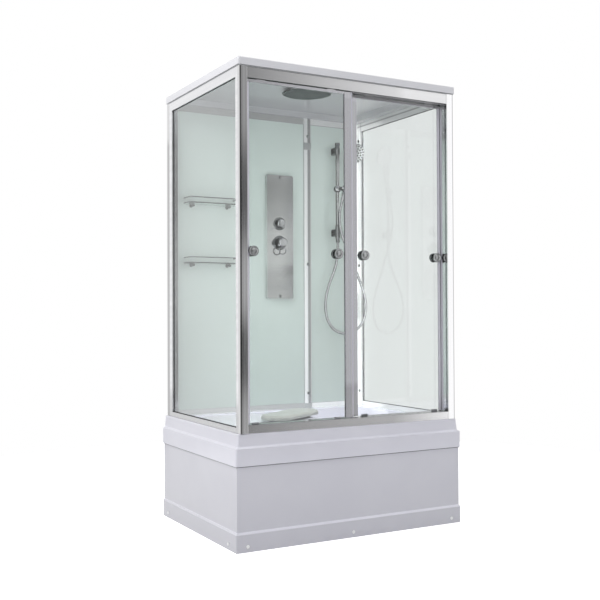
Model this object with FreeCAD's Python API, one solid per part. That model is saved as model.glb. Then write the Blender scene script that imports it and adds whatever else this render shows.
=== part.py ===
import FreeCAD, Part
import math
import os

# Shower enclosure on a deep tray, millimetres
# +X runs to the right, +Y to the back wall, +Z up; the origin is on the floor
# in the middle of the outline.

V = FreeCAD.Vector
X_AXIS = V(1, 0, 0)
Y_AXIS = V(0, 1, 0)
Z_AXIS = V(0, 0, 1)

# Driving dimensions
width = 1220.0
depth = 890.0
height = 2150.0
tray_height = 510.0
cut_overrun = 5.0
seat_gap = 0.3
running_clearance = 0.05
glass_thickness = 5.0
profile_wall = 2.0
edge_chamfer = 1.0
frame_side_inset = 26.0
frame_front_inset = 11.0
frame_back_inset = 4.0
roof_rim_height = 34.0

half_width = width / 2
half_depth = depth / 2
frame_x = half_width - frame_side_inset
frame_front = -half_depth + frame_front_inset
frame_back = half_depth - frame_back_inset
frame_top = height - roof_rim_height

# Tray shell
shell_thickness = 5.0
ledge_drop = 63.0
band_height = 76.0
ledge_bottom = tray_height - ledge_drop
band_bottom = ledge_bottom - band_height
ledge_rise = 8.0
tray_corner_radius = 10.0
neck_inset_low = 10.0
neck_inset_top = 15.0
rim_radius = 4.0
recess_side_inset = 75.0
recess_front_inset = 100.0
recess_back_inset = 95.0
recess_depth = 6.0
recess_radius = 70.0
basin_left = 40.0
basin_margin = 12.0
basin_corner_radius = 65.0
basin_draft = 45.0
basin_floor = 115.0
basin_floor_radius = 30.0

bench_level = tray_height - recess_depth
recess_side = half_width - recess_side_inset
recess_front = -half_depth + recess_front_inset
recess_back = half_depth - recess_back_inset
basin_right = recess_side - basin_margin
basin_front = recess_front + basin_margin
basin_back = recess_back - basin_margin

# Waste and plug
waste_side_inset = 242.0
waste_back_inset = 158.0
waste_x = basin_right - waste_side_inset
waste_y = basin_back - waste_back_inset
waste_flange_radius = 42.0
waste_flange_thickness = 3.0
waste_bore_radius = 22.0
waste_tail_radius = 25.0
waste_hub_radius = 9.0
waste_arm_width = 5.0
waste_arm_height = 6.0
trap_radius = 45.0
trap_bottom = 28.0
trap_top = 88.0
trap_wall = 3.0
trap_edge_radius = 8.0
outlet_height = 54.0
outlet_radius = 20.0
outlet_socket_radius = 24.0
outlet_bore_radius = 17.0
outlet_length = 50.0
outlet_end_inset = 12.0
plug_radius = 27.0
plug_thickness = 6.0
plug_edge_radius = 2.0
plug_stem_radius = 5.0
plug_stem_length = 26.0

# Skirt panels
skirt_thickness = 4.0
plinth_inset = 3.0
plinth_height = 78.0
plinth_ledge = 8.0
panel_inset = 8.0
hook_height = 15.0
hook_start = 4.0
mitre_reach = 60.0
cap_radius = 8.5
cap_height = 2.6
cap_shank_radius = 2.0
cap_hole_radius = 2.4
cap_shank_length = 9.0
cap_level = 25.0
cap_end_margin = 57.0
cap_centre_x = -14.0
cap_side_front = 89.0
cap_side_back = 73.0

# Support frame and feet
bar_size = 25.0
bar_wall = 2.0
ring_side_inset = 50.0
ring_end_inset = 45.0
ring_half_x = half_width - ring_side_inset
ring_half_y = half_depth - ring_end_inset
ring_top = basin_floor - shell_thickness
middle_leg_x = -10.0
basin_beam_inset = 90.0
basin_beam_side_inset = 93.0
basin_beam_xs = (basin_left + basin_beam_inset, basin_right - basin_beam_side_inset)
bench_beam_insets = (160.0, 380.0)
bench_beam_xs = [inset - ring_half_x for inset in bench_beam_insets]
foot_radius = 25.0
foot_pad_height = 6.0
foot_cone_height = 6.0
foot_rod_radius = 6.0
foot_nut_radius = 10.0
foot_nut_height = 9.0

# Loose seat on the bench
seat_length = 408.0
seat_width = 160.0
seat_corner_radius = 71.0
seat_height = 22.0
seat_crown_inset = 9.0
seat_wall = 4.0
seat_angle_deg = 32.5
seat_x = -88.0
seat_y = 30.0
seat_foot_height = 11.0
seat_foot_radius = 11.0
seat_foot_x = 105.0
seat_foot_y = 45.0

# Frame profiles
post_width = 39.0
post_flange = 18.0
post_leg = 14.7
rail_depth = 73.0
rail_setback = 3.0
stile_width = 24.0
side_profile = 24.0
rear_stile_width = 36.0
rear_post_width = 49.0
rear_profile_depth = 32.0
side_bottom_rail = 24.0
side_top_rail = 46.0
glass_bite = 10.0
slot_half = glass_thickness / 2 + seat_gap
column_left = 208.0
column_width = 42.0
column_proud = 4.0
column_bottom_gap = 3.0
rear_top_rail = 31.0
rear_bottom_rail = 24.0
panel_setback = 3.0

# Front rails
top_rail_height = 43.0
track_drop = 9.0
track_pitch = 44.0
track_first = 14.0
track_half_width = 12.0
track_slot_half = 6.0
track_lip = 2.5
bottom_rail_height = 36.0
groove_half_width = 4.0
groove_depth = 14.0

# Doors
door_bottom_gap = 3.0
door_top_gap = 4.0
door_profile_depth = 14.0
door_profile_wall = 1.5
meeting_stile_width = 36.0
left_stile_start = -41.0
right_stile_start = 17.0
door_edge_gap = 2.0
edge_seal_depth = 12.0
edge_seal_side = 1.5
edge_seal_lip = 1.0
lip_seal_width = 8.0
lip_seal_half = 3.0
lip_seal_drop = 2.0
top_profile_height = 12.0
top_profile_half = 6.0
top_glass_bite = 7.0
hanger_width = 44.0
hanger_thickness = 3.0
hanger_foot = 2.5
hanger_top_margin = 12.0
hanger_inset = 70.0
roller_radius = 9.5
roller_disc_width = 4.5
roller_gap = 1.0
roller_axle_radius = 3.0
roller_edge = 0.8
guide_length = 30.0
guide_half = 6.0
guide_height = 6.0
guide_tongue_half = 2.6
guide_inset = 40.0
knob_radius = 23.0
knob_neck_radius = 11.0
knob_neck = 5.0
knob_reach = 18.0
knob_edge = 2.0
knob_recess = 3.0
knob_crown = 2.0
knob_stud_radius = 4.0
knob_hole_radius = 5.0
knob_outer_inset = 28.0
knob_inner_inset = 39.0
knob_rise = 795.0
knob_level = tray_height + knob_rise

# Roof
roof_side_overhang = 7.0
roof_front_overhang = 6.0
roof_corner_radius = 8.0
roof_edge_radius = 4.0
ceiling_drop = 10.0
ceiling_level = height - ceiling_drop
ceiling_thickness = 5.0
ceiling_side_inset = 90.0
ceiling_front_inset = 100.0
ceiling_back_inset = 50.0
ceiling_side = half_width - ceiling_side_inset
ceiling_front = -half_depth + ceiling_front_inset
ceiling_back = half_depth - ceiling_back_inset
ceiling_draft = 30.0
ceiling_radius = 60.0
rain_x = -39.0
rain_y = -66.0
rain_radius = 124.0
rain_drop = 16.0
rain_face_level = ceiling_level - rain_drop
rain_edge = 3.0
rain_neck_radius = 16.0
rain_flange_radius = 32.0
rain_flange_thickness = 3.0
rain_nozzle_margin = 12.0
nozzle_radius = 2.0
nozzle_height = 1.5
nozzle_rings = 4
nozzle_count = 6

# Back wall details and screws
rear_inner_relief = 5.0
post_screw_top_inset = 99.0
post_screw_middle_drop = 9.0
post_screw_bottom_rise = 80.0
post_screw_levels = (
    frame_top - post_screw_top_inset,
    (frame_top + tray_height) / 2 - post_screw_middle_drop,
    tray_height + post_screw_bottom_rise,
)
left_post_screw_inset = 13.0
screw_head_radius = 7.0
screw_head_height = 3.2
screw_shank_radius = 2.1
screw_hole_radius = 2.4
screw_shank_length = 8.0

# Rain shower stem
rain_stem_radius = 10.0
rain_stem_top_gap = 1.0

# Mixer panel and its controls
mixer_x = 49.0
mixer_width = 160.0
mixer_top_inset = 330.0
mixer_height = 673.0
mixer_top = frame_top - mixer_top_inset
mixer_bottom = mixer_top - mixer_height
mixer_depth = 20.0
mixer_sheet = 2.0
mixer_corner = 8.0
control_offset = -4.0
diverter_drop = 266.0
control_pitch = 104.0
control_x = mixer_x + control_offset
diverter_level = mixer_top - diverter_drop
mixer_level = diverter_level - control_pitch
spindle_hole_radius = 14.0
spindle_radius = 9.0
valve_width = 68.0
valve_depth = 13.0
valve_wall = 3.0
valve_margin = 34.0
valve_edge = 3.0
inlet_radius = 10.48
inlet_length = 14.4
inlet_drop = 12.0
inlet_half_pitch = 20.0
inlet_bore = 7.0
diverter_flange_radius = 35.0
mixer_flange_radius = 39.0
flange_height = 6.0
flange_step = 2.0
flange_rim = 8.0
flange_sleeve_radius = 13.0
diverter_knob_radius = 24.0
diverter_knob_length = 27.0
diverter_knob_gap = 1.0
diverter_shaft_radius = 7.0
stem_neck_radius = 13.0
stem_neck_start = 1.0
handle_pivot_reach = 24.0
stem_ball_radius = 18.0
handle_cap_radius = 26.0
handle_cap_back = 5.0
handle_cap_front = 26.0
handle_cap_edge = 4.0
socket_gap = 0.4
handle_pin_radius = 2.0
lever_ring_radius = 20.0
lever_tube_radius = 2.8
panel_screw_inset = 14.0

# Shelves
shelf_side_inset = 75.0
shelf_x0 = shelf_side_inset - frame_x
shelf_top_inset = 516.0
shelf_pitch = 309.0
shelf_levels = (frame_top - shelf_top_inset, frame_top - shelf_top_inset - shelf_pitch)
shelf_length = 300.0
shelf_depth = 92.0
shelf_thickness = 6.0
shelf_corner = 22.0
shelf_bracket_inset = 48.0
bracket_radius = 6.5
bracket_pad_radius = 9.0
bracket_pad_thickness = 3.0
guard_rise = 26.0
guard_radius = 3.0
guard_inset = 8.0
guard_side_inset = 10.0
shelf_wall_gap = 0.3

# Slide bar, slider and hand shower
bar_side_inset = 186.0
bar_reach = 49.0
bar_x = frame_x - bar_side_inset
bar_y = frame_back - rear_profile_depth + panel_setback - bar_reach
bar_radius = 11.0
bar_top_inset = 132.0
bar_length = 532.0
bar_top = frame_top - bar_top_inset
bar_bottom = bar_top - bar_length
sleeve_radius = 13.5
sleeve_top_length = 62.0
sleeve_bottom_length = 74.0
standoff_top_inset = 40.0
standoff_bottom_inset = 32.0
sleeve_top_start = bar_top - sleeve_top_length
sleeve_bottom_end = bar_bottom + sleeve_bottom_length
standoff_levels = (bar_top - standoff_top_inset, bar_bottom + standoff_bottom_inset)
standoff_half_width = 12.5
standoff_half_height = 20.0
standoff_corner = 5.0
outlet_nut_radius = 11.0
outlet_nut_height = 23.0
slider_drop = 257.0
outlet_nut_bottom = bar_bottom - outlet_nut_height
slider_level = bar_top - slider_drop
slider_radius = 22.0
slider_flat = 18.0
knuckle_radius = 10.0
cradle_radius = 17.0
cradle_half_height = 15.0
cradle_gap = 0.3
cradle_pin_radius = 4.0
cradle_pin_length = 9.0
handle_radius = 11.0
handle_top_radius = 13.0
handle_end = 34.0
head_radius = 55.0
head_thickness = 14.0
head_face_inset = 5.0
head_face_depth = 2.0
head_reach = 210.0
head_offset = 26.0
taper_end_margin = 36.0
boot_length = 40.0
boot_top_radius = 10.5
hose_radius = 7.0
handset_side = 26.0
handset_reach = 40.0
handset_point = (bar_x + handset_side, bar_y - handset_reach, slider_level)
handle_direction = (0.243, -0.0655, 0.968)
face_direction = (-0.12, -0.93, -0.35)
bar_brackets_cap = 3.0

# Hose: from the nut under the bar, down in a loop and up to the handle's boot;
# each turn is given by how far it lies to the right, to the back and below the nut
hose_turns = [
    (0.0, 0.0, -52.0),
    (-7.0, -1.0, -107.0),
    (-31.0, -3.0, -174.0),
    (-64.0, -7.0, -239.0),
    (-87.0, -12.0, -311.0),
    (-93.0, -16.0, -384.0),
    (-76.0, -19.0, -451.0),
    (-30.0, -23.0, -499.0),
    (32.0, -28.0, -514.0),
    (94.0, -38.0, -497.0),
    (136.0, -51.0, -446.0),
    (151.0, -59.0, -374.0),
    (139.0, -61.0, -299.0),
    (111.0, -58.0, -224.0),
    (78.0, -52.0, -144.0),
    (45.0, -44.0, -64.0),
    (14.0, -37.0, 11.0),
    (-3.0, -32.0, 76.0),
    (-8.0, -31.0, 129.0),
]
hose_lead = 48.0
hose_gap = 0.3

# Shares of the sizes that they follow
diagonal_share = math.sqrt(1 / 2)
parallel_share = 0.5
bend_share = 0.45
cap_rim_share = 0.35
cap_shoulder_share = 0.8
cap_top_share = 0.4
seat_shoulder_share = 0.6
screw_rim_share = 0.4
screw_top_share = 0.7
rain_crown_share = 0.6
nozzle_tip_share = 0.6
knob_base_share = 0.8
knob_flare_share = 0.25
knob_shoulder_share = 0.2
knob_nose_share = 0.85
knob_tip_share = 0.05
knob_front_share = 0.5
knob_rim_share = 0.72
knob_centre_share = 0.3
handle_edge_share = 0.4
handle_front_share = 1.6
bracket_arm_share = 0.42
knuckle_sink_share = 0.3
cradle_pin_share = 0.7
cradle_mouth_share = 0.7
head_shares = ((0.35, 1), (0.8, 0.6), (1, 0.2), (1, 0))
edge_match = 0.01


def point(x, y, z):
    return V(x, y, z)


def box(x0, x1, y0, y1, z0, z1):
    return Part.makeBox(x1 - x0, y1 - y0, z1 - z0, point(x0, y0, z0))


def rod(base, axis, radius, length):
    return Part.makeCylinder(radius, length, base, axis)


def polygon_prism(corners, travel):
    wire = Part.makePolygon(list(corners) + [corners[0]])
    return Part.Face(wire).extrude(travel)


def rounded_wire(x0, x1, y0, y1, radius, z):
    turn = radius * (1 - diagonal_share)
    sides = [
        (point(x0 + radius, y0, z), point(x1 - radius, y0, z)),
        (point(x1, y0 + radius, z), point(x1, y1 - radius, z)),
        (point(x1 - radius, y1, z), point(x0 + radius, y1, z)),
        (point(x0, y1 - radius, z), point(x0, y0 + radius, z)),
    ]
    bends = [
        point(x1 - turn, y0 + turn, z),
        point(x1 - turn, y1 - turn, z),
        point(x0 + turn, y1 - turn, z),
        point(x0 + turn, y0 + turn, z),
    ]
    edges = []
    for index, (start, end) in enumerate(sides):
        following = sides[(index + 1) % len(sides)][0]
        edges.append(Part.makeLine(start, end))
        edges.append(Part.Arc(end, bends[index], following).toShape())
    return Part.Wire(edges)


def rounded_prism(x0, x1, y0, y1, radius, z0, z1):
    face = Part.Face(rounded_wire(x0, x1, y0, y1, radius, z0))
    return face.extrude(point(0, 0, z1 - z0))


def standing_block(x0, x1, z0, z1, radius, back, thickness):
    # drawn flat with its front upwards, then stood up against the wall
    face = Part.Face(rounded_wire(x0, x1, z0, z1, radius, 0))
    block = face.extrude(point(0, 0, thickness))
    block.rotate(point(0, 0, 0), X_AXIS, 90)
    block.translate(point(0, back, 0))
    return block


def rounded_loft(lower, upper):
    return Part.makeLoft([rounded_wire(*lower), rounded_wire(*upper)], True, True)


def turned(profile, origin, axis):
    # profile holds (radius, height along the axis) pairs, from the axis back to it
    side = Y_AXIS.cross(axis)
    if side.Length < parallel_share:
        side = X_AXIS
    side.normalize()
    corners = [origin + side * r + axis * h for r, h in profile]
    wire = Part.makePolygon(corners + [corners[0]])
    return Part.Face(wire).revolve(origin, axis, 360)


def edges_at_height(shape, z, tolerance=edge_match):
    picked = []
    for edge in shape.Edges:
        bounds = edge.BoundBox
        if abs(bounds.ZMin - z) < tolerance and abs(bounds.ZMax - z) < tolerance:
            picked.append(edge)
    return picked


def mirrored(shape):
    return shape.mirror(point(0, 0, 0), X_AXIS)


def fuse(shapes):
    whole = shapes[0]
    for shape in shapes[1:]:
        whole = whole.fuse(shape)
    return whole.removeSplitter()


def cut(shape, tools):
    for tool in tools:
        shape = shape.cut(tool)
    return shape


def save(node, shapes):
    solids = []
    for shape in shapes:
        solids.extend(shape.Solids)
    Part.makeCompound(solids).exportStep("parts/" + node + ".step")
    print(node, len(solids), "solids", round(sum(s.Volume for s in solids) / 1000, 1), "cm3")


# Tray: one moulded shell with a stepped outside, a bench and a deep basin
def tray_outline(side, front, back, radius, z):
    return (-half_width + side, half_width - side, -half_depth + front, half_depth - back, radius, z)


def tray_basin():
    ledge_top = ledge_bottom + ledge_rise
    under_rim = tray_height - shell_thickness
    corner = tray_corner_radius
    t = shell_thickness
    band = rounded_prism(*tray_outline(0, 0, 0, corner, band_bottom), ledge_bottom)
    ledge = rounded_loft(
        tray_outline(0, 0, 0, corner, ledge_bottom),
        tray_outline(neck_inset_low, neck_inset_low, 0, corner, ledge_top))
    neck = rounded_loft(
        tray_outline(neck_inset_low, neck_inset_low, 0, corner, ledge_top),
        tray_outline(neck_inset_top, neck_inset_top, 0, corner, tray_height))
    outside = fuse([band, ledge, neck])
    outside = outside.makeFillet(rim_radius, edges_at_height(outside, tray_height))
    low_hollow = rounded_prism(
        *tray_outline(t, t, t, corner, band_bottom - cut_overrun), ledge_bottom - t)
    ledge_hollow = rounded_loft(
        tray_outline(t, t, t, corner, ledge_bottom - t),
        tray_outline(neck_inset_low + t, neck_inset_low + t, t, corner, ledge_top - t))
    neck_hollow = rounded_loft(
        tray_outline(neck_inset_low + t, neck_inset_low + t, t, corner, ledge_top - t),
        tray_outline(neck_inset_top + t, neck_inset_top + t, t, corner, under_rim))
    shell = cut(outside, [low_hollow, ledge_hollow, neck_hollow])
    recess_skin = rounded_prism(
        -recess_side - t, recess_side + t, recess_front - t, recess_back + t,
        recess_radius + t, bench_level - t, tray_height - t)
    basin_skin = rounded_loft(
        (basin_left + basin_draft - t, basin_right - basin_draft + t, basin_front + basin_draft - t,
         basin_back - basin_draft + t, basin_corner_radius + t, basin_floor - t),
        (basin_left - t, basin_right + t, basin_front - t, basin_back + t,
         basin_corner_radius + t, bench_level))
    basin_skin = basin_skin.makeFillet(basin_floor_radius, edges_at_height(basin_skin, basin_floor - t))
    shell = fuse([shell, recess_skin, basin_skin])
    recess = rounded_prism(
        -recess_side, recess_side, recess_front, recess_back, recess_radius,
        bench_level, tray_height + cut_overrun)
    basin = rounded_loft(
        (basin_left + basin_draft, basin_right - basin_draft, basin_front + basin_draft,
         basin_back - basin_draft, basin_corner_radius, basin_floor),
        (basin_left, basin_right, basin_front, basin_back, basin_corner_radius, bench_level))
    basin = basin.makeFillet(basin_floor_radius - t, edges_at_height(basin, basin_floor))
    waste_hole = rod(point(waste_x, waste_y, basin_floor - t - cut_overrun), Z_AXIS,
                     waste_tail_radius + seat_gap, t + 2 * cut_overrun)
    return cut(shell, [recess, basin, waste_hole])


def waste_trap():
    flange_top = basin_floor + waste_flange_thickness
    drain = point(waste_x, waste_y, 0)
    tail_bottom = trap_top - trap_wall
    flange = rod(drain + Z_AXIS * basin_floor, Z_AXIS, waste_flange_radius, waste_flange_thickness)
    tail = rod(drain + Z_AXIS * trap_top, Z_AXIS, waste_tail_radius, flange_top - trap_top)
    bore = rod(drain + Z_AXIS * tail_bottom, Z_AXIS, waste_bore_radius,
               flange_top - tail_bottom + cut_overrun)
    spider_bottom = flange_top - waste_flange_thickness - waste_arm_height
    hub = rod(drain + Z_AXIS * spider_bottom, Z_AXIS, waste_hub_radius, waste_arm_height)
    arms = []
    arm_reach = (waste_bore_radius + waste_tail_radius) / 2
    for turn in (0, 120, 240):
        arm = box(0, arm_reach, -waste_arm_width / 2, waste_arm_width / 2,
                  spider_bottom, spider_bottom + waste_arm_height)
        arm.rotate(point(0, 0, 0), Z_AXIS, turn)
        arm.translate(drain)
        arms.append(arm)
    stem_bore = rod(drain + Z_AXIS * (spider_bottom - cut_overrun), Z_AXIS,
                    plug_stem_radius + running_clearance, waste_arm_height + 2 * cut_overrun)
    upper = fuse([cut(fuse([flange, tail]), [bore]), hub] + arms).cut(stem_bore)
    cup = rod(drain + Z_AXIS * trap_bottom, Z_AXIS, trap_radius, trap_top - trap_bottom)
    cup = cup.makeFillet(trap_edge_radius, edges_at_height(cup, trap_bottom))
    cup_hollow = rod(drain + Z_AXIS * (trap_bottom + trap_wall), Z_AXIS,
                     trap_radius - trap_wall, trap_top - trap_bottom - 2 * trap_wall)
    pipe_end = half_depth - outlet_end_inset
    axis_start = drain + Z_AXIS * outlet_height
    socket = rod(axis_start, Y_AXIS, outlet_socket_radius, pipe_end - outlet_length - waste_y)
    spigot = rod(axis_start, Y_AXIS, outlet_radius, pipe_end - waste_y)
    pipe_bore = rod(axis_start, Y_AXIS, outlet_bore_radius, pipe_end - waste_y + cut_overrun)
    throat = rod(drain + Z_AXIS * tail_bottom, Z_AXIS, waste_bore_radius, 2 * trap_wall)
    lower = cut(fuse([cup, socket, spigot]), [cup_hollow, pipe_bore, throat])
    return [upper, lower]


def drain_plug():
    seat = basin_floor + waste_flange_thickness + seat_gap
    cap = rod(point(waste_x, waste_y, seat), Z_AXIS, plug_radius, plug_thickness)
    cap = cap.makeFillet(plug_edge_radius, edges_at_height(cap, seat + plug_thickness))
    stem = rod(point(waste_x, waste_y, seat - plug_stem_length), Z_AXIS, plug_stem_radius,
               plug_stem_length)
    return fuse([cap, stem])


# Skirt: three moulded panels that hook behind the band and stand on the floor
def skirt_profile():
    # corners run in (inset from the tray outline, height)
    t = skirt_thickness
    ledge_top = plinth_height + plinth_ledge
    hook_inset = shell_thickness + seat_gap
    hook_top = band_bottom + hook_height
    bend = plinth_ledge * diagonal_share
    step = panel_inset - plinth_inset
    outer = [
        (plinth_inset, 0),
        (plinth_inset, plinth_height),
        (plinth_inset + step - step * diagonal_share, plinth_height + bend),
        (panel_inset, ledge_top),
        (panel_inset, band_bottom + hook_start),
        (hook_inset, band_bottom + hook_start + panel_inset - hook_inset),
        (hook_inset, hook_top),
    ]
    inner = [
        (hook_inset + t, hook_top),
        (hook_inset + t, band_bottom + hook_start + panel_inset - hook_inset + t),
        (panel_inset + t, band_bottom + hook_start),
        (panel_inset + t, ledge_top + t),
        (plinth_inset + t, plinth_height + t),
        (plinth_inset + t, 0),
    ]
    return outer + inner


def cap_holes(places, axis):
    return [rod(place - axis * cut_overrun, axis, cap_hole_radius, skirt_thickness + 2 * cut_overrun)
            for place in places]


def front_cap_places():
    y = -half_depth + plinth_inset
    xs = (-half_width + cap_end_margin, cap_centre_x, half_width - cap_end_margin)
    return [point(x, y, cap_level) for x in xs]


def left_cap_places():
    x = -half_width + plinth_inset
    ys = (-half_depth + cap_side_front, half_depth - cap_side_back)
    return [point(x, y, cap_level) for y in ys]


def skirt_limit():
    # the whole outline below the band, the rounded hollow of the tray above it
    inset = shell_thickness + seat_gap
    low = box(-half_width, half_width, -half_depth, half_depth, 0, band_bottom - seat_gap)
    high = rounded_prism(-half_width + inset, half_width - inset, -half_depth + inset, half_depth - inset,
                         tray_corner_radius, band_bottom - seat_gap, tray_height)
    return fuse([low, high])


def front_skirt():
    corners = [point(-half_width, -half_depth + inset, z) for inset, z in skirt_profile()]
    strip = polygon_prism(corners, point(width, 0, 0))
    k = mitre_reach
    region = polygon_prism(
        [point(-half_width, -half_depth, 0), point(half_width, -half_depth, 0),
         point(half_width - k, -half_depth + k, 0), point(-half_width + k, -half_depth + k, 0)],
        point(0, 0, tray_height))
    return cut(strip.common(region).common(skirt_limit()), cap_holes(front_cap_places(), Y_AXIS))


def left_skirt():
    corners = [point(-half_width + inset, -half_depth, z) for inset, z in skirt_profile()]
    strip = polygon_prism(corners, point(0, depth, 0))
    k = mitre_reach
    region = polygon_prism(
        [point(-half_width, -half_depth, 0), point(-half_width + k, -half_depth + k, 0),
         point(-half_width + k, half_depth - shell_thickness - seat_gap, 0),
         point(-half_width, half_depth - shell_thickness - seat_gap, 0)],
        point(0, 0, tray_height))
    return cut(strip.common(region).common(skirt_limit()), cap_holes(left_cap_places(), X_AXIS))


def screw_cap(place, inward):
    outward = inward * -1
    dome = [
        (0, 0), (cap_radius, 0), (cap_radius, cap_height * cap_rim_share),
        (cap_radius * cap_shoulder_share, cap_height * cap_shoulder_share),
        (cap_radius * cap_top_share, cap_height), (0, cap_height)]
    shank = rod(place, inward, cap_shank_radius, cap_shank_length)
    return fuse([turned(dome, place, outward), shank])


def skirt_screw_caps():
    left = [screw_cap(place, X_AXIS) for place in left_cap_places()]
    front = [screw_cap(place, Y_AXIS) for place in front_cap_places()]
    return front + left + [mirrored(cap) for cap in left]


# Support frame: square tubes butted together, under the basin and the bench
def square_tube(x0, x1, y0, y1, z0, z1):
    solid = box(x0, x1, y0, y1, z0, z1)
    w = bar_wall
    lengths = (x1 - x0, y1 - y0, z1 - z0)
    run = lengths.index(max(lengths))
    margins = [w, w, w]
    margins[run] = -cut_overrun
    inside = box(x0 + margins[0], x1 - margins[0], y0 + margins[1], y1 - margins[1],
                 z0 + margins[2], z1 - margins[2])
    return solid.cut(inside)


def leg_places():
    near = ring_half_x - bar_size
    xs = (-ring_half_x, middle_leg_x, near)
    ys = (-ring_half_y, ring_half_y - bar_size)
    return [(x, y) for x in xs for y in ys]


def support_frame():
    s = bar_size
    low = ring_top - s
    under_deck = tray_height - shell_thickness
    bearer_top = bench_level - shell_thickness
    inner_y = ring_half_y - s
    tubes = []
    for y0 in (-ring_half_y, inner_y):
        tubes.append(square_tube(-ring_half_x, ring_half_x, y0, y0 + s, low, ring_top))
        tubes.append(square_tube(-ring_half_x + s, middle_leg_x, y0, y0 + s, under_deck - s, under_deck))
    cross_xs = (-ring_half_x,) + basin_beam_xs + (ring_half_x - s,)
    for x0 in cross_xs:
        tubes.append(square_tube(x0, x0 + s, -inner_y, inner_y, low, ring_top))
    for x0 in bench_beam_xs:
        tubes.append(square_tube(x0, x0 + s, -inner_y, inner_y, bearer_top - s, bearer_top))
    for x0, y0 in leg_places():
        tubes.append(square_tube(x0, x0 + s, y0, y0 + s, ring_top, under_deck))
    return tubes


def levelling_feet():
    top = ring_top - bar_size
    cone_top = foot_pad_height + foot_cone_height
    profile = [
        (0, 0), (foot_radius, 0), (foot_radius, foot_pad_height), (foot_nut_radius, cone_top),
        (foot_rod_radius, cone_top), (foot_rod_radius, top - foot_nut_height),
        (foot_nut_radius, top - foot_nut_height), (foot_nut_radius, top), (0, top)]
    return [turned(profile, point(x + bar_size / 2, y + bar_size / 2, 0), Z_AXIS)
            for x, y in leg_places()]


# Seat: a shallow moulded shell on four short feet, loose on the bench
def bath_seat():
    half_l = seat_length / 2
    half_w = seat_width / 2
    r = seat_corner_radius
    top_r = r - seat_crown_inset
    low = bench_level + seat_foot_height
    shoulder = low + seat_height * seat_shoulder_share
    top = low + seat_height
    inset = seat_crown_inset
    skirt = rounded_prism(-half_l, half_l, -half_w, half_w, r, low, shoulder)
    crown = rounded_loft(
        (-half_l, half_l, -half_w, half_w, r, shoulder),
        (-half_l + inset, half_l - inset, -half_w + inset, half_w - inset, top_r, top))
    w = seat_wall
    hollow = rounded_prism(-half_l + inset, half_l - inset, -half_w + inset, half_w - inset, top_r,
                           low - cut_overrun, top - w)
    shell = fuse([skirt, crown]).cut(hollow)
    feet = []
    for fx in (-seat_foot_x, seat_foot_x):
        for fy in (-seat_foot_y, seat_foot_y):
            feet.append(rod(point(fx, fy, bench_level), Z_AXIS, seat_foot_radius, top - w - bench_level))
    seat = fuse([shell] + feet)
    seat.rotate(point(0, 0, 0), Z_AXIS, seat_angle_deg)
    seat.translate(point(seat_x, seat_y, 0))
    return seat


# Frame profiles
def upright(corners, z0, z1):
    return polygon_prism([point(x, y, z0) for x, y in corners], point(0, 0, z1 - z0))


def front_left_post():
    x0 = -frame_x
    x1 = x0 + post_width
    y0 = frame_front
    y1 = y0 + post_flange
    leg_x = x1 - post_leg
    leg_end = y0 + rail_setback + rail_depth
    w = profile_wall
    outer = upright(
        [(x0 + edge_chamfer, y0), (x1, y0), (x1, leg_end), (leg_x, leg_end), (leg_x, y1),
         (x0, y1), (x0, y0 + edge_chamfer)], tray_height, frame_top)
    chamber = upright(
        [(x0 + w, y0 + w), (x1 - w, y0 + w), (x1 - w, leg_end - w), (leg_x + w, leg_end - w),
         (leg_x + w, y1 - w), (x0 + w, y1 - w)], tray_height - cut_overrun, frame_top + cut_overrun)
    return outer.cut(chamber)


def channel_stile(x0, y0, y1, slot_side):
    # hollow stile whose glass slot opens towards +Y or -Y
    x1 = x0 + side_profile
    w = profile_wall
    c = edge_chamfer
    middle = (x0 + x1) / 2
    outer = upright(
        [(x0 + c, y0), (x1, y0), (x1, y1), (x0 + c, y1), (x0, y1 - c), (x0, y0 + c)],
        tray_height, frame_top)
    bottom = tray_height - cut_overrun
    top = frame_top + cut_overrun
    if slot_side > 0:
        slot = box(middle - slot_half, middle + slot_half, y1 - glass_bite, y1 + cut_overrun, bottom, top)
        chamber = box(x0 + w, x1 - w, y0 + w, y1 - glass_bite - w, bottom, top)
    else:
        slot = box(middle - slot_half, middle + slot_half, y0 - cut_overrun, y0 + glass_bite, bottom, top)
        chamber = box(x0 + w, x1 - w, y0 + glass_bite + w, y1 - w, bottom, top)
    return cut(outer, [slot, chamber])


front_stile_start = frame_front + post_flange + seat_gap
front_stile_end = front_stile_start + stile_width
rear_stile_end = frame_back - rear_profile_depth
rear_stile_start = rear_stile_end - rear_stile_width


def left_side_frame():
    x0 = -frame_x
    x1 = x0 + side_profile
    middle = (x0 + x1) / 2
    front = channel_stile(x0, front_stile_start, front_stile_end, 1)
    rear = channel_stile(x0, rear_stile_start, rear_stile_end, -1)
    low_top = tray_height + side_bottom_rail
    high_bottom = frame_top - side_top_rail
    w = profile_wall
    y0 = front_stile_end
    y1 = rear_stile_start
    over = cut_overrun
    low = cut(box(x0, x1, y0, y1, tray_height, low_top), [
        box(middle - slot_half, middle + slot_half, y0 - over, y1 + over,
            low_top - glass_bite, low_top + over),
        box(x0 + w, x1 - w, y0 - over, y1 + over, tray_height + w, low_top - glass_bite - w)])
    high = cut(box(x0, x1, y0, y1, high_bottom, frame_top), [
        box(middle - slot_half, middle + slot_half, y0 - over, y1 + over,
            high_bottom - over, high_bottom + glass_bite),
        box(x0 + w, x1 - w, y0 - over, y1 + over, high_bottom + glass_bite + w, frame_top - w)])
    return [front, rear, low, high]


def left_side_glass():
    middle = -frame_x + side_profile / 2
    t = glass_thickness / 2
    reach = glass_bite - seat_gap
    return box(middle - t, middle + t, front_stile_end - reach, rear_stile_start + reach,
               tray_height + side_bottom_rail - reach, frame_top - side_top_rail + reach)


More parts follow.
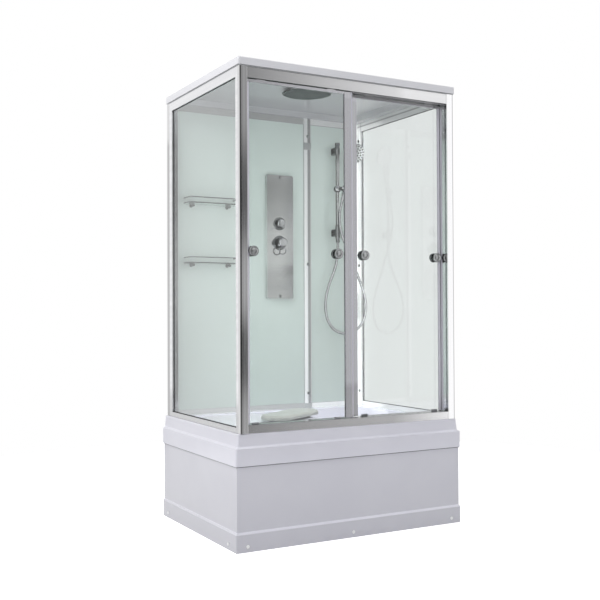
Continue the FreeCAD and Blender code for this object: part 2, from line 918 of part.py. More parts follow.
# Back wall
rear_front = frame_back - rear_profile_depth
panel_front = rear_front + panel_setback
panel_back = panel_front + glass_thickness
column_x0 = column_left
column_x1 = column_left + column_width
left_panel_x0 = -frame_x + rear_post_width
right_panel_x1 = frame_x - rear_post_width


def slot_y(x0, x1, z0, z1):
    return box(x0, x1, panel_front - seat_gap, panel_back + seat_gap, z0, z1)


def rear_left_post():
    x0 = -frame_x
    x1 = left_panel_x0
    w = profile_wall
    bottom = tray_height - cut_overrun
    top = frame_top + cut_overrun
    outer = upright(
        [(x0, rear_front), (x1, rear_front), (x1, frame_back), (x0 + edge_chamfer, frame_back),
         (x0, frame_back - edge_chamfer)], tray_height, frame_top)
    slot = slot_y(x1 - glass_bite, x1 + cut_overrun, bottom, top)
    chamber = box(x0 + w, x1 - glass_bite - w, rear_front + w, frame_back - w, bottom, top)
    place = left_post_screw_x()
    return cut(outer, [slot, chamber] + [screw_hole(point(place, rear_front, z), Y_AXIS)
                                         for z in (post_screw_levels[0], post_screw_levels[2])])


def rear_centre_column():
    y0 = rear_front - column_proud
    y1 = frame_back - rear_inner_relief
    w = profile_wall
    z0 = tray_height + column_bottom_gap
    z1 = frame_top
    bottom = z0 - cut_overrun
    top = z1 + cut_overrun
    c = edge_chamfer
    outer = upright(
        [(column_x0 + c, y0), (column_x1 - c, y0), (column_x1, y0 + c), (column_x1, y1),
         (column_x0, y1), (column_x0, y0 + c)], z0, z1)
    slots = [slot_y(column_x0 - cut_overrun, column_x0 + glass_bite, bottom, top),
             slot_y(column_x1 - glass_bite, column_x1 + cut_overrun, bottom, top)]
    chamber = box(column_x0 + glass_bite + w, column_x1 - glass_bite - w, y0 + w, y1 - w, bottom, top)
    foot = box(column_x0 + column_width / 4, column_x1 - column_width / 4, panel_back + 2 * w,
               y1 - c, tray_height, z0)
    middle = (column_x0 + column_x1) / 2
    holes = [screw_hole(point(middle, y0, z), Y_AXIS) for z in post_screw_levels]
    return fuse([cut(outer, slots + [chamber] + holes), foot])


def left_post_screw_x():
    return left_panel_x0 - left_post_screw_inset


def screw_hole(place, inward):
    return rod(place - inward * cut_overrun, inward, screw_hole_radius,
               screw_shank_length + 2 * cut_overrun)


def pan_screw(place, inward):
    h = screw_head_height
    r = screw_head_radius
    profile = [(0, 0), (r, 0), (r, h * screw_rim_share), (r * screw_top_share, h), (0, h)]
    head = turned(profile, place, inward * -1)
    return fuse([head, rod(place, inward, screw_shank_radius, screw_shank_length)])


def rear_rails():
    pieces = []
    y1 = frame_back - rear_inner_relief
    w = profile_wall
    over = cut_overrun
    for x0, x1 in ((left_panel_x0, column_x0), (column_x1, right_panel_x1)):
        for z0, z1, slot_up in (
                (tray_height, tray_height + rear_bottom_rail, True),
                (frame_top - rear_top_rail, frame_top, False)):
            bar = box(x0, x1, rear_front, y1, z0, z1)
            if slot_up:
                slot = slot_y(x0 - over, x1 + over, z1 - glass_bite, z1 + over)
                chamber = box(x0 - over, x1 + over, rear_front + w, y1 - w, z0 + w, z1 - glass_bite - w)
            else:
                slot = slot_y(x0 - over, x1 + over, z0 - over, z0 + glass_bite)
                chamber = box(x0 - over, x1 + over, rear_front + w, y1 - w, z0 + glass_bite + w, z1 - w)
            pieces.append(cut(bar, [slot, chamber]))
    return pieces


def rear_panel(x0, x1):
    reach = glass_bite - seat_gap
    return box(x0 - reach, x1 + reach, panel_front, panel_back,
               tray_height + rear_bottom_rail - reach, frame_top - rear_top_rail + reach)


# Front rails
front_rail_x = frame_x - post_width
rail_front = frame_front + rail_setback
rail_back = rail_front + rail_depth
track_ys = (rail_front + track_first, rail_front + track_first + track_pitch)
track_floor = frame_top - top_rail_height - track_drop
groove_top = tray_height + bottom_rail_height


def front_top_rail():
    x1 = front_rail_x
    bar = box(-x1, x1, rail_front, rail_back, track_floor, frame_top)
    tools = []
    for y in track_ys:
        tools.append(box(-x1 - cut_overrun, x1 + cut_overrun, y - track_half_width, y + track_half_width,
                         track_floor + track_lip, frame_top - profile_wall))
        tools.append(box(-x1 - cut_overrun, x1 + cut_overrun, y - track_slot_half, y + track_slot_half,
                         track_floor - cut_overrun, track_floor + track_lip + cut_overrun))
    between = box(-x1 - cut_overrun, x1 + cut_overrun, track_ys[0] + track_half_width + profile_wall,
                  track_ys[1] - track_half_width - profile_wall, track_floor + profile_wall,
                  frame_top - profile_wall)
    return cut(bar, tools + [between])


def front_bottom_rail():
    x1 = front_rail_x
    c = edge_chamfer
    corners = [(rail_front, tray_height), (rail_front, groove_top - c), (rail_front + c, groove_top),
               (rail_back, groove_top), (rail_back, tray_height)]
    bar = polygon_prism([point(-x1, y, z) for y, z in corners], point(2 * x1, 0, 0))
    tools = [box(-x1 - cut_overrun, x1 + cut_overrun, y - groove_half_width, y + groove_half_width,
                 groove_top - groove_depth, groove_top + cut_overrun) for y in track_ys]
    w = profile_wall
    tools.append(box(-x1 - cut_overrun, x1 + cut_overrun, rail_front + w, rail_back - w,
                     tray_height + w, groove_top - groove_depth - w))
    return cut(bar, tools)


# Doors: the left one runs in the outer track, the right one in the inner track
door_bottom = groove_top + door_bottom_gap
door_top = track_floor - door_top_gap
top_profile_bottom = door_top - top_profile_height
glass_top = top_profile_bottom + top_glass_bite
glass_bottom = door_bottom
roller_level = track_floor + track_lip + seat_gap + roller_radius


class Door:
    def __init__(self, side):
        # side is -1 for the left door and +1 for the right one
        self.side = side
        self.y = track_ys[0] if side < 0 else track_ys[1]
        self.edge = side * (front_rail_x - door_edge_gap)
        self.stile_outer = left_stile_start if side < 0 else right_stile_start + meeting_stile_width
        self.meeting = self.stile_outer - side * meeting_stile_width

    def span(self, near, far):
        return (min(near, far), max(near, far))

    def glass(self):
        x0, x1 = self.span(self.edge - self.side * edge_seal_side,
                           self.stile_outer - self.side * (glass_bite - seat_gap))
        t = glass_thickness / 2
        pane = box(x0, x1, self.y - t, self.y + t, glass_bottom, glass_top)
        return cut(pane, [rod(point(x, self.y - t - cut_overrun, knob_level), Y_AXIS, knob_hole_radius,
                              glass_thickness + 2 * cut_overrun) for x in self.knob_xs()])

    def knob_xs(self):
        return (self.edge - self.side * knob_outer_inset, self.stile_outer + self.side * knob_inner_inset)

    def frame(self):
        x0, x1 = self.span(self.stile_outer, self.meeting)
        half = door_profile_depth / 2
        w = door_profile_wall
        over = cut_overrun
        stile = box(x0, x1, self.y - half, self.y + half, door_bottom, door_top)
        s0, s1 = self.span(self.stile_outer + self.side * over, self.stile_outer - self.side * glass_bite)
        c0, c1 = self.span(self.stile_outer - self.side * (glass_bite + w), self.meeting + self.side * w)
        stile = cut(stile, [
            box(s0, s1, self.y - slot_half, self.y + slot_half, door_bottom - over, door_top + over),
            box(c0, c1, self.y - half + w, self.y + half - w, door_bottom - over, door_top + over)])
        t0, t1 = self.span(self.edge, self.stile_outer)
        top = box(t0, t1, self.y - top_profile_half, self.y + top_profile_half, top_profile_bottom, door_top)
        top = top.cut(box(t0 - over, t1 + over, self.y - slot_half, self.y + slot_half,
                          top_profile_bottom - over, glass_top + seat_gap))
        return [stile, top]

    def seals(self):
        half = glass_thickness / 2 + seat_gap + edge_seal_lip
        over = cut_overrun
        e0, e1 = self.span(self.edge, self.edge - self.side * edge_seal_depth)
        strip = box(e0, e1, self.y - half, self.y + half, glass_bottom, top_profile_bottom - seat_gap)
        i0, i1 = self.span(self.edge - self.side * (edge_seal_side - seat_gap),
                           self.edge - self.side * (edge_seal_depth + over))
        strip = strip.cut(box(i0, i1, self.y - slot_half, self.y + slot_half,
                              glass_bottom - over, top_profile_bottom))
        l0, l1 = self.span(self.meeting, self.meeting - self.side * lip_seal_width)
        lip = box(l0, l1, self.y - lip_seal_half, self.y + lip_seal_half,
                  door_bottom - lip_seal_drop, door_top)
        return [strip, lip]

    def knobs(self):
        solids = []
        half = glass_thickness / 2
        r = knob_radius
        n = knob_neck_radius
        e = knob_edge
        low = knob_reach - knob_recess
        profile = [(0, 0), (n, 0), (n, knob_neck), (r - e, knob_neck), (r, knob_neck + e), (r, knob_reach - e),
                   (r - e, knob_reach), (r * knob_rim_share, knob_reach), (r * knob_rim_share - e, low),
                   (r * knob_centre_share, low + knob_crown), (0, low + knob_crown)]
        for x in self.knob_xs():
            outer = turned(profile, point(x, self.y - half, knob_level), Y_AXIS * -1)
            stud = rod(point(x, self.y - half, knob_level), Y_AXIS, knob_stud_radius, glass_thickness)
            inner = turned(profile, point(x, self.y + half, knob_level), Y_AXIS)
            solids.append(fuse([outer, stud, inner]))
        return solids

    def carrier_xs(self):
        return sorted((self.edge - self.side * hanger_inset, self.stile_outer + self.side * hanger_inset))

    def hangers(self):
        plates = []
        foot_half = top_profile_half
        for x in self.carrier_xs():
            foot = box(x - hanger_width / 2, x + hanger_width / 2, self.y - foot_half, self.y + foot_half,
                       door_top, door_top + hanger_foot)
            plate = box(x - hanger_width / 2, x + hanger_width / 2, self.y - hanger_thickness / 2,
                        self.y + hanger_thickness / 2, door_top, roller_level + hanger_top_margin)
            bore = rod(point(x, self.y - hanger_thickness, roller_level), Y_AXIS,
                       roller_axle_radius + running_clearance, 2 * hanger_thickness)
            plates.append(fuse([foot, plate]).cut(bore))
        return plates

    def roller(self, index):
        x = self.carrier_xs()[index]
        inner = hanger_thickness / 2 + roller_gap
        outer = inner + roller_disc_width
        r = roller_radius
        e = roller_edge
        a = roller_axle_radius
        profile = [(0, -outer), (r - e, -outer), (r, -outer + e), (r, -inner - e), (r - e, -inner),
                   (a, -inner), (a, inner), (r - e, inner), (r, inner + e), (r, outer - e),
                   (r - e, outer), (0, outer)]
        return turned(profile, point(x, self.y, roller_level), Y_AXIS)

    def guides(self):
        shoes = []
        places = (self.edge - self.side * guide_inset, self.stile_outer + self.side * guide_inset)
        for x in places:
            x0 = x - guide_length / 2
            x1 = x + guide_length / 2
            block = box(x0, x1, self.y - guide_half, self.y + guide_half,
                        door_bottom - door_bottom_gap / 2, door_bottom + guide_height)
            block = block.cut(box(x0 - cut_overrun, x1 + cut_overrun, self.y - slot_half,
                                  self.y + slot_half, door_bottom, door_bottom + guide_height + cut_overrun))
            tongue = box(x0, x1, self.y - guide_tongue_half, self.y + guide_tongue_half,
                         groove_top - groove_depth + door_bottom_gap, door_bottom)
            shoes.append(fuse([block, tongue]))
        return shoes


# Roof: a shallow moulded tray turned upside down
def roof():
    x1 = frame_x + roof_side_overhang
    y0 = frame_front - roof_front_overhang
    y1 = frame_back
    slab = rounded_prism(-x1, x1, y0, y1, roof_corner_radius, frame_top, height)
    slab = slab.makeFillet(roof_edge_radius, edges_at_height(slab, height))
    side = ceiling_side
    d = ceiling_draft
    under = rounded_loft(
        (-side, side, ceiling_front, ceiling_back, ceiling_radius, frame_top),
        (-side + d, side - d, ceiling_front + d, ceiling_back - d, ceiling_radius, ceiling_level))
    over = rounded_prism(-side + d, side - d, ceiling_front + d, ceiling_back - d, ceiling_radius,
                         ceiling_level + ceiling_thickness, height + cut_overrun)
    pipe = rod(point(rain_x, rain_y, ceiling_level - cut_overrun), Z_AXIS,
               rain_stem_radius + seat_gap, ceiling_thickness + 2 * cut_overrun)
    return cut(slab, [under, over, pipe])


def rain_shower():
    r = rain_radius
    back = rain_face_level + rain_edge
    top = ceiling_level - rain_flange_thickness
    profile = [(0, rain_face_level), (r - rain_edge, rain_face_level), (r, rain_face_level + rain_edge / 2),
               (r, back), (r * rain_crown_share, back + (top - back) * rain_crown_share),
               (rain_neck_radius, top), (0, top)]
    head = turned([(a, b - rain_face_level) for a, b in profile],
                  point(rain_x, rain_y, rain_face_level), Z_AXIS)
    nozzles = []
    spacing = (r - rain_nozzle_margin) / nozzle_rings
    for ring in range(1, nozzle_rings + 1):
        count = nozzle_count * ring
        for k in range(count):
            turn = 2 * math.pi * k / count
            centre = point(rain_x + ring * spacing * math.cos(turn), rain_y + ring * spacing * math.sin(turn),
                           rain_face_level - nozzle_height)
            nozzles.append(Part.makeCone(nozzle_radius * nozzle_tip_share, nozzle_radius,
                                         nozzle_height, centre, Z_AXIS))
    return head, nozzles


def rain_shower_neck():
    top = height - rain_stem_top_gap
    flange = rod(point(rain_x, rain_y, ceiling_level - rain_flange_thickness), Z_AXIS,
                 rain_flange_radius, rain_flange_thickness)
    stem = rod(point(rain_x, rain_y, ceiling_level), Z_AXIS, rain_stem_radius, top - ceiling_level)
    return fuse([flange, stem])


# Mixer panel, valve and controls
mixer_front = panel_front - mixer_depth


def wall_front(level):
    return point(control_x, mixer_front, level)


def mixer_panel():
    x0 = mixer_x - mixer_width / 2
    x1 = mixer_x + mixer_width / 2
    s = mixer_sheet
    pan = standing_block(x0, x1, mixer_bottom, mixer_top, mixer_corner, panel_front, mixer_depth)
    hollow = standing_block(x0 + s, x1 - s, mixer_bottom + s, mixer_top - s, mixer_corner - s,
                            panel_front + s, mixer_depth)
    shell = pan.cut(hollow)
    holes = [rod(wall_front(level) - Y_AXIS * cut_overrun, Y_AXIS, spindle_hole_radius,
                 s + 2 * cut_overrun) for level in (diverter_level, mixer_level)]
    holes += [rod(place - Y_AXIS * cut_overrun, Y_AXIS, screw_hole_radius, s + 2 * cut_overrun)
              for place in panel_screw_places()]
    return cut(shell, holes)


def panel_screw_places():
    return [point(mixer_x, mixer_front, mixer_bottom + panel_screw_inset),
            point(mixer_x, mixer_front, mixer_top - panel_screw_inset)]


def wall_screws():
    middle = (column_x0 + column_x1) / 2
    column_face = rear_front - column_proud
    screws = [pan_screw(place, Y_AXIS) for place in panel_screw_places()]
    screws += [pan_screw(point(middle, column_face, z), Y_AXIS) for z in post_screw_levels]
    screws += [pan_screw(point(left_post_screw_x(), rear_front, z), Y_AXIS)
               for z in (post_screw_levels[0], post_screw_levels[2])]
    screws += [pan_screw(place, X_AXIS) for place in stile_screw_places()]
    return screws


def stile_screw_places():
    y = rear_stile_end - rear_stile_width / 2 + glass_bite / 2
    return [point(frame_x - side_profile, y, z) for z in post_screw_levels]


def valve_body():
    x0 = control_x - valve_width / 2
    y0 = panel_back + seat_gap
    y1 = y0 + valve_depth
    z0 = mixer_level - valve_margin
    block = box(x0, x0 + valve_width, y0, y1, z0, diverter_level + valve_margin)
    block = block.makeChamfer(valve_edge, [e for e in block.Edges
                                           if abs(e.BoundBox.YMin - y1) < valve_edge
                                           and abs(e.BoundBox.YMax - y1) < valve_edge])
    spigots = []
    bores = []
    for x in (control_x - inlet_half_pitch, control_x + inlet_half_pitch):
        spigots.append(rod(point(x, y1, mixer_level - inlet_drop), Y_AXIS, inlet_radius, inlet_length))
        bores.append(rod(point(x, y0 + valve_wall, mixer_level - inlet_drop), Y_AXIS, inlet_bore,
                         valve_depth + inlet_length + cut_overrun))
    sleeves = []
    for level in (diverter_level, mixer_level):
        sleeves.append(rod(point(control_x, mixer_front + mixer_sheet, level), Y_AXIS, spindle_radius,
                           y0 - mixer_front - mixer_sheet))
    return cut(fuse([block] + spigots + sleeves), bores)


def control_flange(level, radius):
    s = flange_step
    profile = [(0, 0), (radius, 0), (radius, flange_height - s), (radius - s, flange_height),
               (radius - flange_rim, flange_height), (radius - flange_rim - s, flange_height - s),
               (flange_sleeve_radius, flange_height - s), (0, flange_height - s)]
    flange = turned(profile, wall_front(level), Y_AXIS * -1)
    plug = rod(wall_front(level), Y_AXIS, spindle_hole_radius - seat_gap, mixer_sheet)
    return fuse([flange, plug])


def control_flanges():
    seat = flange_height + cut_overrun
    diverter = control_flange(diverter_level, diverter_flange_radius)
    bore = rod(wall_front(diverter_level) - Y_AXIS * seat, Y_AXIS,
               diverter_shaft_radius + running_clearance, seat + mixer_sheet + cut_overrun)
    mixer = control_flange(mixer_level, mixer_flange_radius)
    stem_bore = rod(wall_front(mixer_level) - Y_AXIS * seat, Y_AXIS,
                    diverter_shaft_radius + running_clearance, seat + mixer_sheet + cut_overrun)
    return [diverter.cut(bore), mixer.cut(stem_bore)]


def diverter_knob():
    r = diverter_knob_radius
    length = diverter_knob_length
    start = flange_height - flange_step + diverter_knob_gap
    end = start + length
    profile = [(0, start), (r * knob_base_share, start), (r, start + length * knob_flare_share),
               (r, end - length * knob_shoulder_share), (r * knob_nose_share, end - length * knob_tip_share),
               (r * knob_front_share, end), (0, end)]
    cap = turned(profile, wall_front(diverter_level), Y_AXIS * -1)
    shaft = rod(wall_front(diverter_level) - Y_AXIS * start, Y_AXIS, diverter_shaft_radius,
                start + mixer_sheet - seat_gap)
    return fuse([cap, shaft])


def handle_pivot():
    return wall_front(mixer_level) - Y_AXIS * handle_pivot_reach


def mixer_stem():
    start = flange_height - flange_step + stem_neck_start
    neck = rod(wall_front(mixer_level) - Y_AXIS * handle_pivot_reach, Y_AXIS, stem_neck_radius,
               handle_pivot_reach - start)
    shaft = rod(wall_front(mixer_level) - Y_AXIS * start, Y_AXIS, diverter_shaft_radius,
                start + mixer_sheet - seat_gap)
    ball = Part.makeSphere(stem_ball_radius, handle_pivot())
    reach = handle_cap_radius - seat_gap
    pin = rod(handle_pivot() - X_AXIS * reach, X_AXIS, handle_pin_radius, 2 * reach)
    return fuse([neck, shaft, ball, pin])


def mixer_handle():
    r = handle_cap_radius
    front = handle_cap_front
    edge = handle_cap_edge
    profile = [(0, -handle_cap_back), (r, -handle_cap_back), (r, front - 2 * edge),
               (r - edge * handle_edge_share, front - edge),
               (r - edge * handle_front_share, front), (0, front)]
    cap = turned(profile, handle_pivot(), Y_AXIS * -1)
    socket = Part.makeSphere(stem_ball_radius + socket_gap, handle_pivot())
    mouth = rod(handle_pivot(), Y_AXIS, stem_ball_radius + socket_gap, 2 * handle_cap_back)
    reach = 2 * handle_cap_radius
    bore = rod(handle_pivot() - X_AXIS * reach / 2, X_AXIS, handle_pin_radius + running_clearance, reach)
    ring_y = -(front - 2 * edge) / 2
    ring_centre = handle_pivot() + Y_AXIS * ring_y - Z_AXIS * (r + lever_ring_radius - lever_tube_radius)
    ring = Part.makeTorus(lever_ring_radius, lever_tube_radius, ring_centre, Y_AXIS)
    keep_out = rod(handle_pivot() + Y_AXIS * handle_cap_back, Y_AXIS * -1, r - lever_tube_radius,
                   handle_cap_back + front)
    ring = ring.cut(keep_out)
    return cut(fuse([cap, ring]), [socket, mouth, bore])


# Shelves on the left part of the back wall
def shelf_glasses():
    panes = []
    for level in shelf_levels:
        panes.append(rounded_prism(shelf_x0, shelf_x0 + shelf_length,
                                   panel_front - shelf_depth, panel_front - shelf_wall_gap,
                                   shelf_corner, level, level + shelf_thickness))
    return panes


def guard_rail(level):
    # a bar along the front, turned back to the wall at both ends
    z = level + shelf_thickness + guard_rise
    x0 = shelf_x0 + guard_side_inset
    x1 = shelf_x0 + shelf_length - guard_side_inset
    y0 = panel_front - shelf_depth + guard_inset
    bend = shelf_corner
    turn = bend * (1 - diagonal_share)
    edges = [
        Part.makeLine(point(x0, panel_front, z), point(x0, y0 + bend, z)),
        Part.Arc(point(x0, y0 + bend, z), point(x0 + turn, y0 + turn, z), point(x0 + bend, y0, z)).toShape(),
        Part.makeLine(point(x0 + bend, y0, z), point(x1 - bend, y0, z)),
        Part.Arc(point(x1 - bend, y0, z), point(x1 - turn, y0 + turn, z), point(x1, y0 + bend, z)).toShape(),
        Part.makeLine(point(x1, y0 + bend, z), point(x1, panel_front, z)),
    ]
    circle = Part.Wire([Part.makeCircle(guard_radius, point(x0, panel_front, z), Y_AXIS)])
    return Part.Wire(edges).makePipeShell([circle], True, True)


def shelf_fittings():
    pieces = []
    for level in shelf_levels:
        for x in (shelf_x0 + shelf_bracket_inset, shelf_x0 + shelf_length - shelf_bracket_inset):
            length = shelf_depth * bracket_arm_share
            z = level - bracket_radius
            arm = rod(point(x, panel_front, z), Y_AXIS * -1, bracket_radius, length)
            pad = rod(point(x, panel_front, z), Y_AXIS * -1, bracket_pad_radius, bracket_pad_thickness)
            top = box(x - 2 * bracket_pad_radius, x + 2 * bracket_pad_radius, panel_front - length,
                      panel_front + cut_overrun, level, level + 2 * bracket_pad_radius)
            pieces.append(fuse([arm, pad]).cut(top))
        pieces.append(guard_rail(level))
    return pieces


# Slide bar, slider, cradle and hand shower


def slide_bar():
    base = point(bar_x, bar_y, bar_bottom)
    bar = rod(base, Z_AXIS, bar_radius, bar_top - bar_bottom)
    return bar


def bar_brackets():
    sleeves = []
    spans = ((sleeve_top_start, bar_top + bar_brackets_cap), (bar_bottom, sleeve_bottom_end))
    for (z0, z1), level in zip(spans, standoff_levels):
        sleeve = rod(point(bar_x, bar_y, z0), Z_AXIS, sleeve_radius, z1 - z0)
        block = standing_block(bar_x - standoff_half_width, bar_x + standoff_half_width,
                               level - standoff_half_height, level + standoff_half_height,
                               standoff_corner, panel_front, panel_front - bar_y)
        sleeves.append(fuse([sleeve, block]))
    hollow = rod(point(bar_x, bar_y, bar_bottom), Z_AXIS, bar_radius, bar_top - bar_bottom)
    nut = rod(point(bar_x, bar_y, outlet_nut_bottom), Z_AXIS, outlet_nut_radius,
              bar_bottom - outlet_nut_bottom)
    return [solid.cut(hollow) for solid in sleeves] + [nut]


def unit(direction):
    vector = point(*direction)
    vector.normalize()
    return vector


def handset_origin():
    return point(*handset_point)


def bar_slider():
    centre = point(bar_x, bar_y, slider_level)
    ball = Part.makeSphere(slider_radius, centre)
    trim = slider_flat
    reach = 2 * slider_radius
    ball = ball.common(box(bar_x - reach, bar_x + reach, bar_y - reach, bar_y + reach,
                           slider_level - trim, slider_level + trim))
    ear_end = handset_origin() - X_AXIS * (cradle_radius + cradle_gap)
    arm_direction = ear_end - centre
    arm = rod(centre, arm_direction, knuckle_radius,
              arm_direction.Length - knuckle_radius * knuckle_sink_share)
    ear = rod(ear_end - X_AXIS * knuckle_radius, X_AXIS, knuckle_radius, knuckle_radius)
    bore = rod(point(bar_x, bar_y, slider_level - reach), Z_AXIS, bar_radius + running_clearance, 2 * reach)
    socket = rod(ear_end - X_AXIS * (cradle_pin_length + cradle_gap), X_AXIS,
                 cradle_pin_radius + running_clearance, cradle_pin_length + cradle_gap + cut_overrun)
    behind_ear = box(ear_end.x, ear_end.x + reach, ear_end.y - reach, ear_end.y + reach,
                     ear_end.z - reach, ear_end.z + reach)
    return cut(fuse([ball, arm, ear]), [bore, socket, behind_ear])


def handset_cradle():
    centre = handset_origin()
    along = unit(handle_direction)
    cup = rod(centre - along * cradle_half_height, along, cradle_radius, 2 * cradle_half_height)
    ear_end = centre - X_AXIS * (cradle_radius + cradle_gap)
    reach = 2 * cradle_radius
    cup = cup.common(box(centre.x - cradle_radius, centre.x + reach, centre.y - reach, centre.y + reach,
                         centre.z - reach, centre.z + reach))
    pin = rod(ear_end - X_AXIS * cradle_pin_length, X_AXIS, cradle_pin_radius,
              cradle_pin_length + cradle_radius * cradle_pin_share)
    bore = rod(centre - along * reach, along, handle_radius + seat_gap, 2 * reach)
    gap = handle_radius * cradle_mouth_share
    mouth = box(-gap, gap, -reach, 0, -reach, reach)
    mouth.translate(centre)
    return cut(fuse([cup, pin]), [bore, mouth])


def head_centre():
    return handset_origin() + unit(handle_direction) * head_reach + unit(face_direction) * head_offset


def hand_shower():
    origin = handset_origin()
    along = unit(handle_direction)
    face = unit(face_direction)
    start = origin - along * handle_end
    collar = cradle_half_height + cradle_gap
    grip = rod(start, along, handle_radius, handle_end + collar)
    taper_start = origin + along * collar
    taper_length = head_reach - taper_end_margin - collar
    taper = Part.makeCone(handle_top_radius, handle_radius, taper_length, taper_start, along)
    tip = Part.makeSphere(handle_radius, taper_start + along * taper_length)
    t = head_thickness
    r = head_radius
    profile = [(0, -t)] + [(r * across, -t * behind) for across, behind in head_shares] + [(0, 0)]
    head = turned(profile, head_centre(), face)
    recess = rod(head_centre() - face * head_face_depth, face, r - head_face_inset, 2 * head_face_depth)
    return fuse([grip, taper, tip, head]).cut(recess)


def hand_shower_face():
    face = unit(face_direction)
    r = head_radius - head_face_inset
    base = head_centre() - face * head_face_depth
    disc = rod(base, face, r, head_face_depth)
    across = Z_AXIS.cross(face)
    across.normalize()
    upward = face.cross(across)
    studs = []
    spacing = r / nozzle_rings
    for ring in range(1, nozzle_rings):
        count = nozzle_count * ring
        for k in range(count):
            turn = 2 * math.pi * k / count
            reach = ring * spacing
            centre = base + across * (reach * math.cos(turn)) + upward * (reach * math.sin(turn))
            studs.append(Part.makeCone(nozzle_radius, nozzle_radius * nozzle_tip_share, nozzle_height,
                                       centre + face * head_face_depth, face))
    return fuse([disc] + studs)


def hose_boot():
    along = unit(handle_direction)
    top = handset_origin() - along * handle_end
    return Part.makeCone(boot_top_radius, hose_radius + edge_chamfer, boot_length, top, along * -1)


# Hose route
def hose_end():
    return handset_origin() - unit(handle_direction) * (handle_end + boot_length + hose_gap)


def rounded_path(points):
    # straight runs joined by arcs, each as large as its two runs allow
    edges = []
    radii = []
    place = points[0]
    for before, corner, after in zip(points, points[1:], points[2:]):
        incoming = corner - before
        outgoing = after - corner
        reach = bend_share * min(incoming.Length, outgoing.Length)
        incoming.normalize()
        outgoing.normalize()
        turn = incoming.getAngle(outgoing)
        radius = reach / math.tan(turn / 2)
        radii.append(radius)
        start = corner - incoming * reach
        end = corner + outgoing * reach
        inward = outgoing - incoming
        inward.normalize()
        middle = corner + inward * (radius / math.cos(turn / 2) - radius)
        edges.append(Part.LineSegment(place, start).toShape())
        edges.append(Part.Arc(start, middle, end).toShape())
        place = end
    edges.append(Part.LineSegment(place, points[-1]).toShape())
    return edges, radii


def shower_hose():
    lead = hose_end() - unit(handle_direction) * hose_lead
    start = point(bar_x, bar_y, outlet_nut_bottom)
    points = [start] + [start + point(*turn) for turn in hose_turns] + [lead, hose_end()]
    edges, radii = rounded_path(points)
    length = sum(edge.Length for edge in edges)
    path = Part.Wire(edges)
    first = points[1] - points[0]
    circle = Part.Wire([Part.makeCircle(hose_radius, points[0], first)])
    tube = path.makePipeShell([circle], True, True)
    expected = math.pi * hose_radius ** 2 * length
    print("hose length", round(length), "tightest radius", round(min(radii)),
          "volume share", round(tube.Volume / expected, 4))
    return tube


def main():
    os.makedirs("parts", exist_ok=True)
    save("tray_basin", [tray_basin()])
    save("waste_trap", waste_trap())
    save("drain_plug", [drain_plug()])
    save("front_skirt", [front_skirt()])
    side_skirt = left_skirt()
    save("left_skirt", [side_skirt])
    save("right_skirt", [mirrored(side_skirt)])
    save("skirt_screw_caps", skirt_screw_caps())
    save("support_frame", support_frame())
    save("levelling_feet", levelling_feet())
    save("bath_seat", [bath_seat()])
    post = front_left_post()
    save("front_left_post", [post])
    save("front_right_post", [mirrored(post)])
    save("front_top_rail", [front_top_rail()])
    save("front_bottom_rail", [front_bottom_rail()])
    side = left_side_frame()
    save("left_side_frame", side)
    right_side = [mirrored(piece) for piece in side]
    right_side[1] = cut(right_side[1], [screw_hole(place, X_AXIS) for place in stile_screw_places()])
    save("right_side_frame", right_side)
    pane = left_side_glass()
    save("left_side_glass", [pane])
    save("right_side_glass", [mirrored(pane)])
    rear_post = rear_left_post()
    save("rear_left_post", [rear_post])
    save("rear_right_post", [mirrored(rear_post)])
    save("rear_centre_column", [rear_centre_column()])
    save("rear_rails", rear_rails())
    valve = valve_body()
    left_wall = rear_panel(left_panel_x0, column_x0)
    left_wall = cut(left_wall, [rod(point(control_x, panel_front - cut_overrun, level), Y_AXIS,
                                    spindle_hole_radius, glass_thickness + 2 * cut_overrun)
                                for level in (diverter_level, mixer_level)])
    save("rear_left_panel", [left_wall])
    save("rear_right_panel", [rear_panel(column_x1, right_panel_x1)])
    save("wall_screws", wall_screws())
    save("roof", [roof()])
    head, nozzles = rain_shower()
    save("rain_shower", [fuse([head] + nozzles)])
    save("rain_shower_neck", [rain_shower_neck()])
    save("mixer_panel", [mixer_panel()])
    save("valve_body", [valve])
    save("control_flanges", control_flanges())
    save("diverter_knob", [diverter_knob()])
    save("mixer_stem", [mixer_stem()])
    save("mixer_handle", [mixer_handle()])
    save("shelf_glasses", shelf_glasses())
    save("shelf_fittings", shelf_fittings())
    save("slide_bar", [slide_bar()])
    save("bar_brackets", bar_brackets())
    save("bar_slider", [bar_slider()])
    save("handset_cradle", [handset_cradle()])
    save("hand_shower", [hand_shower()])
    save("hand_shower_face", [hand_shower_face()])
    save("hose_boot", [hose_boot()])
    save("shower_hose", [shower_hose()])
    for name, door in (("left_door", Door(-1)), ("right_door", Door(1))):
        save(name + "_glass", [door.glass()])
        save(name + "_frame", door.frame())
        save(name + "_seals", door.seals())
        save(name + "_knobs", door.knobs())
        save(name + "_hangers", door.hangers())
        save(name + "_guides", door.guides())
        save(name + "_left_roller", [door.roller(0)])
        save(name + "_right_roller", [door.roller(1)])


main()
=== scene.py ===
import math

import bmesh
import bpy
from mathutils import Matrix, Vector


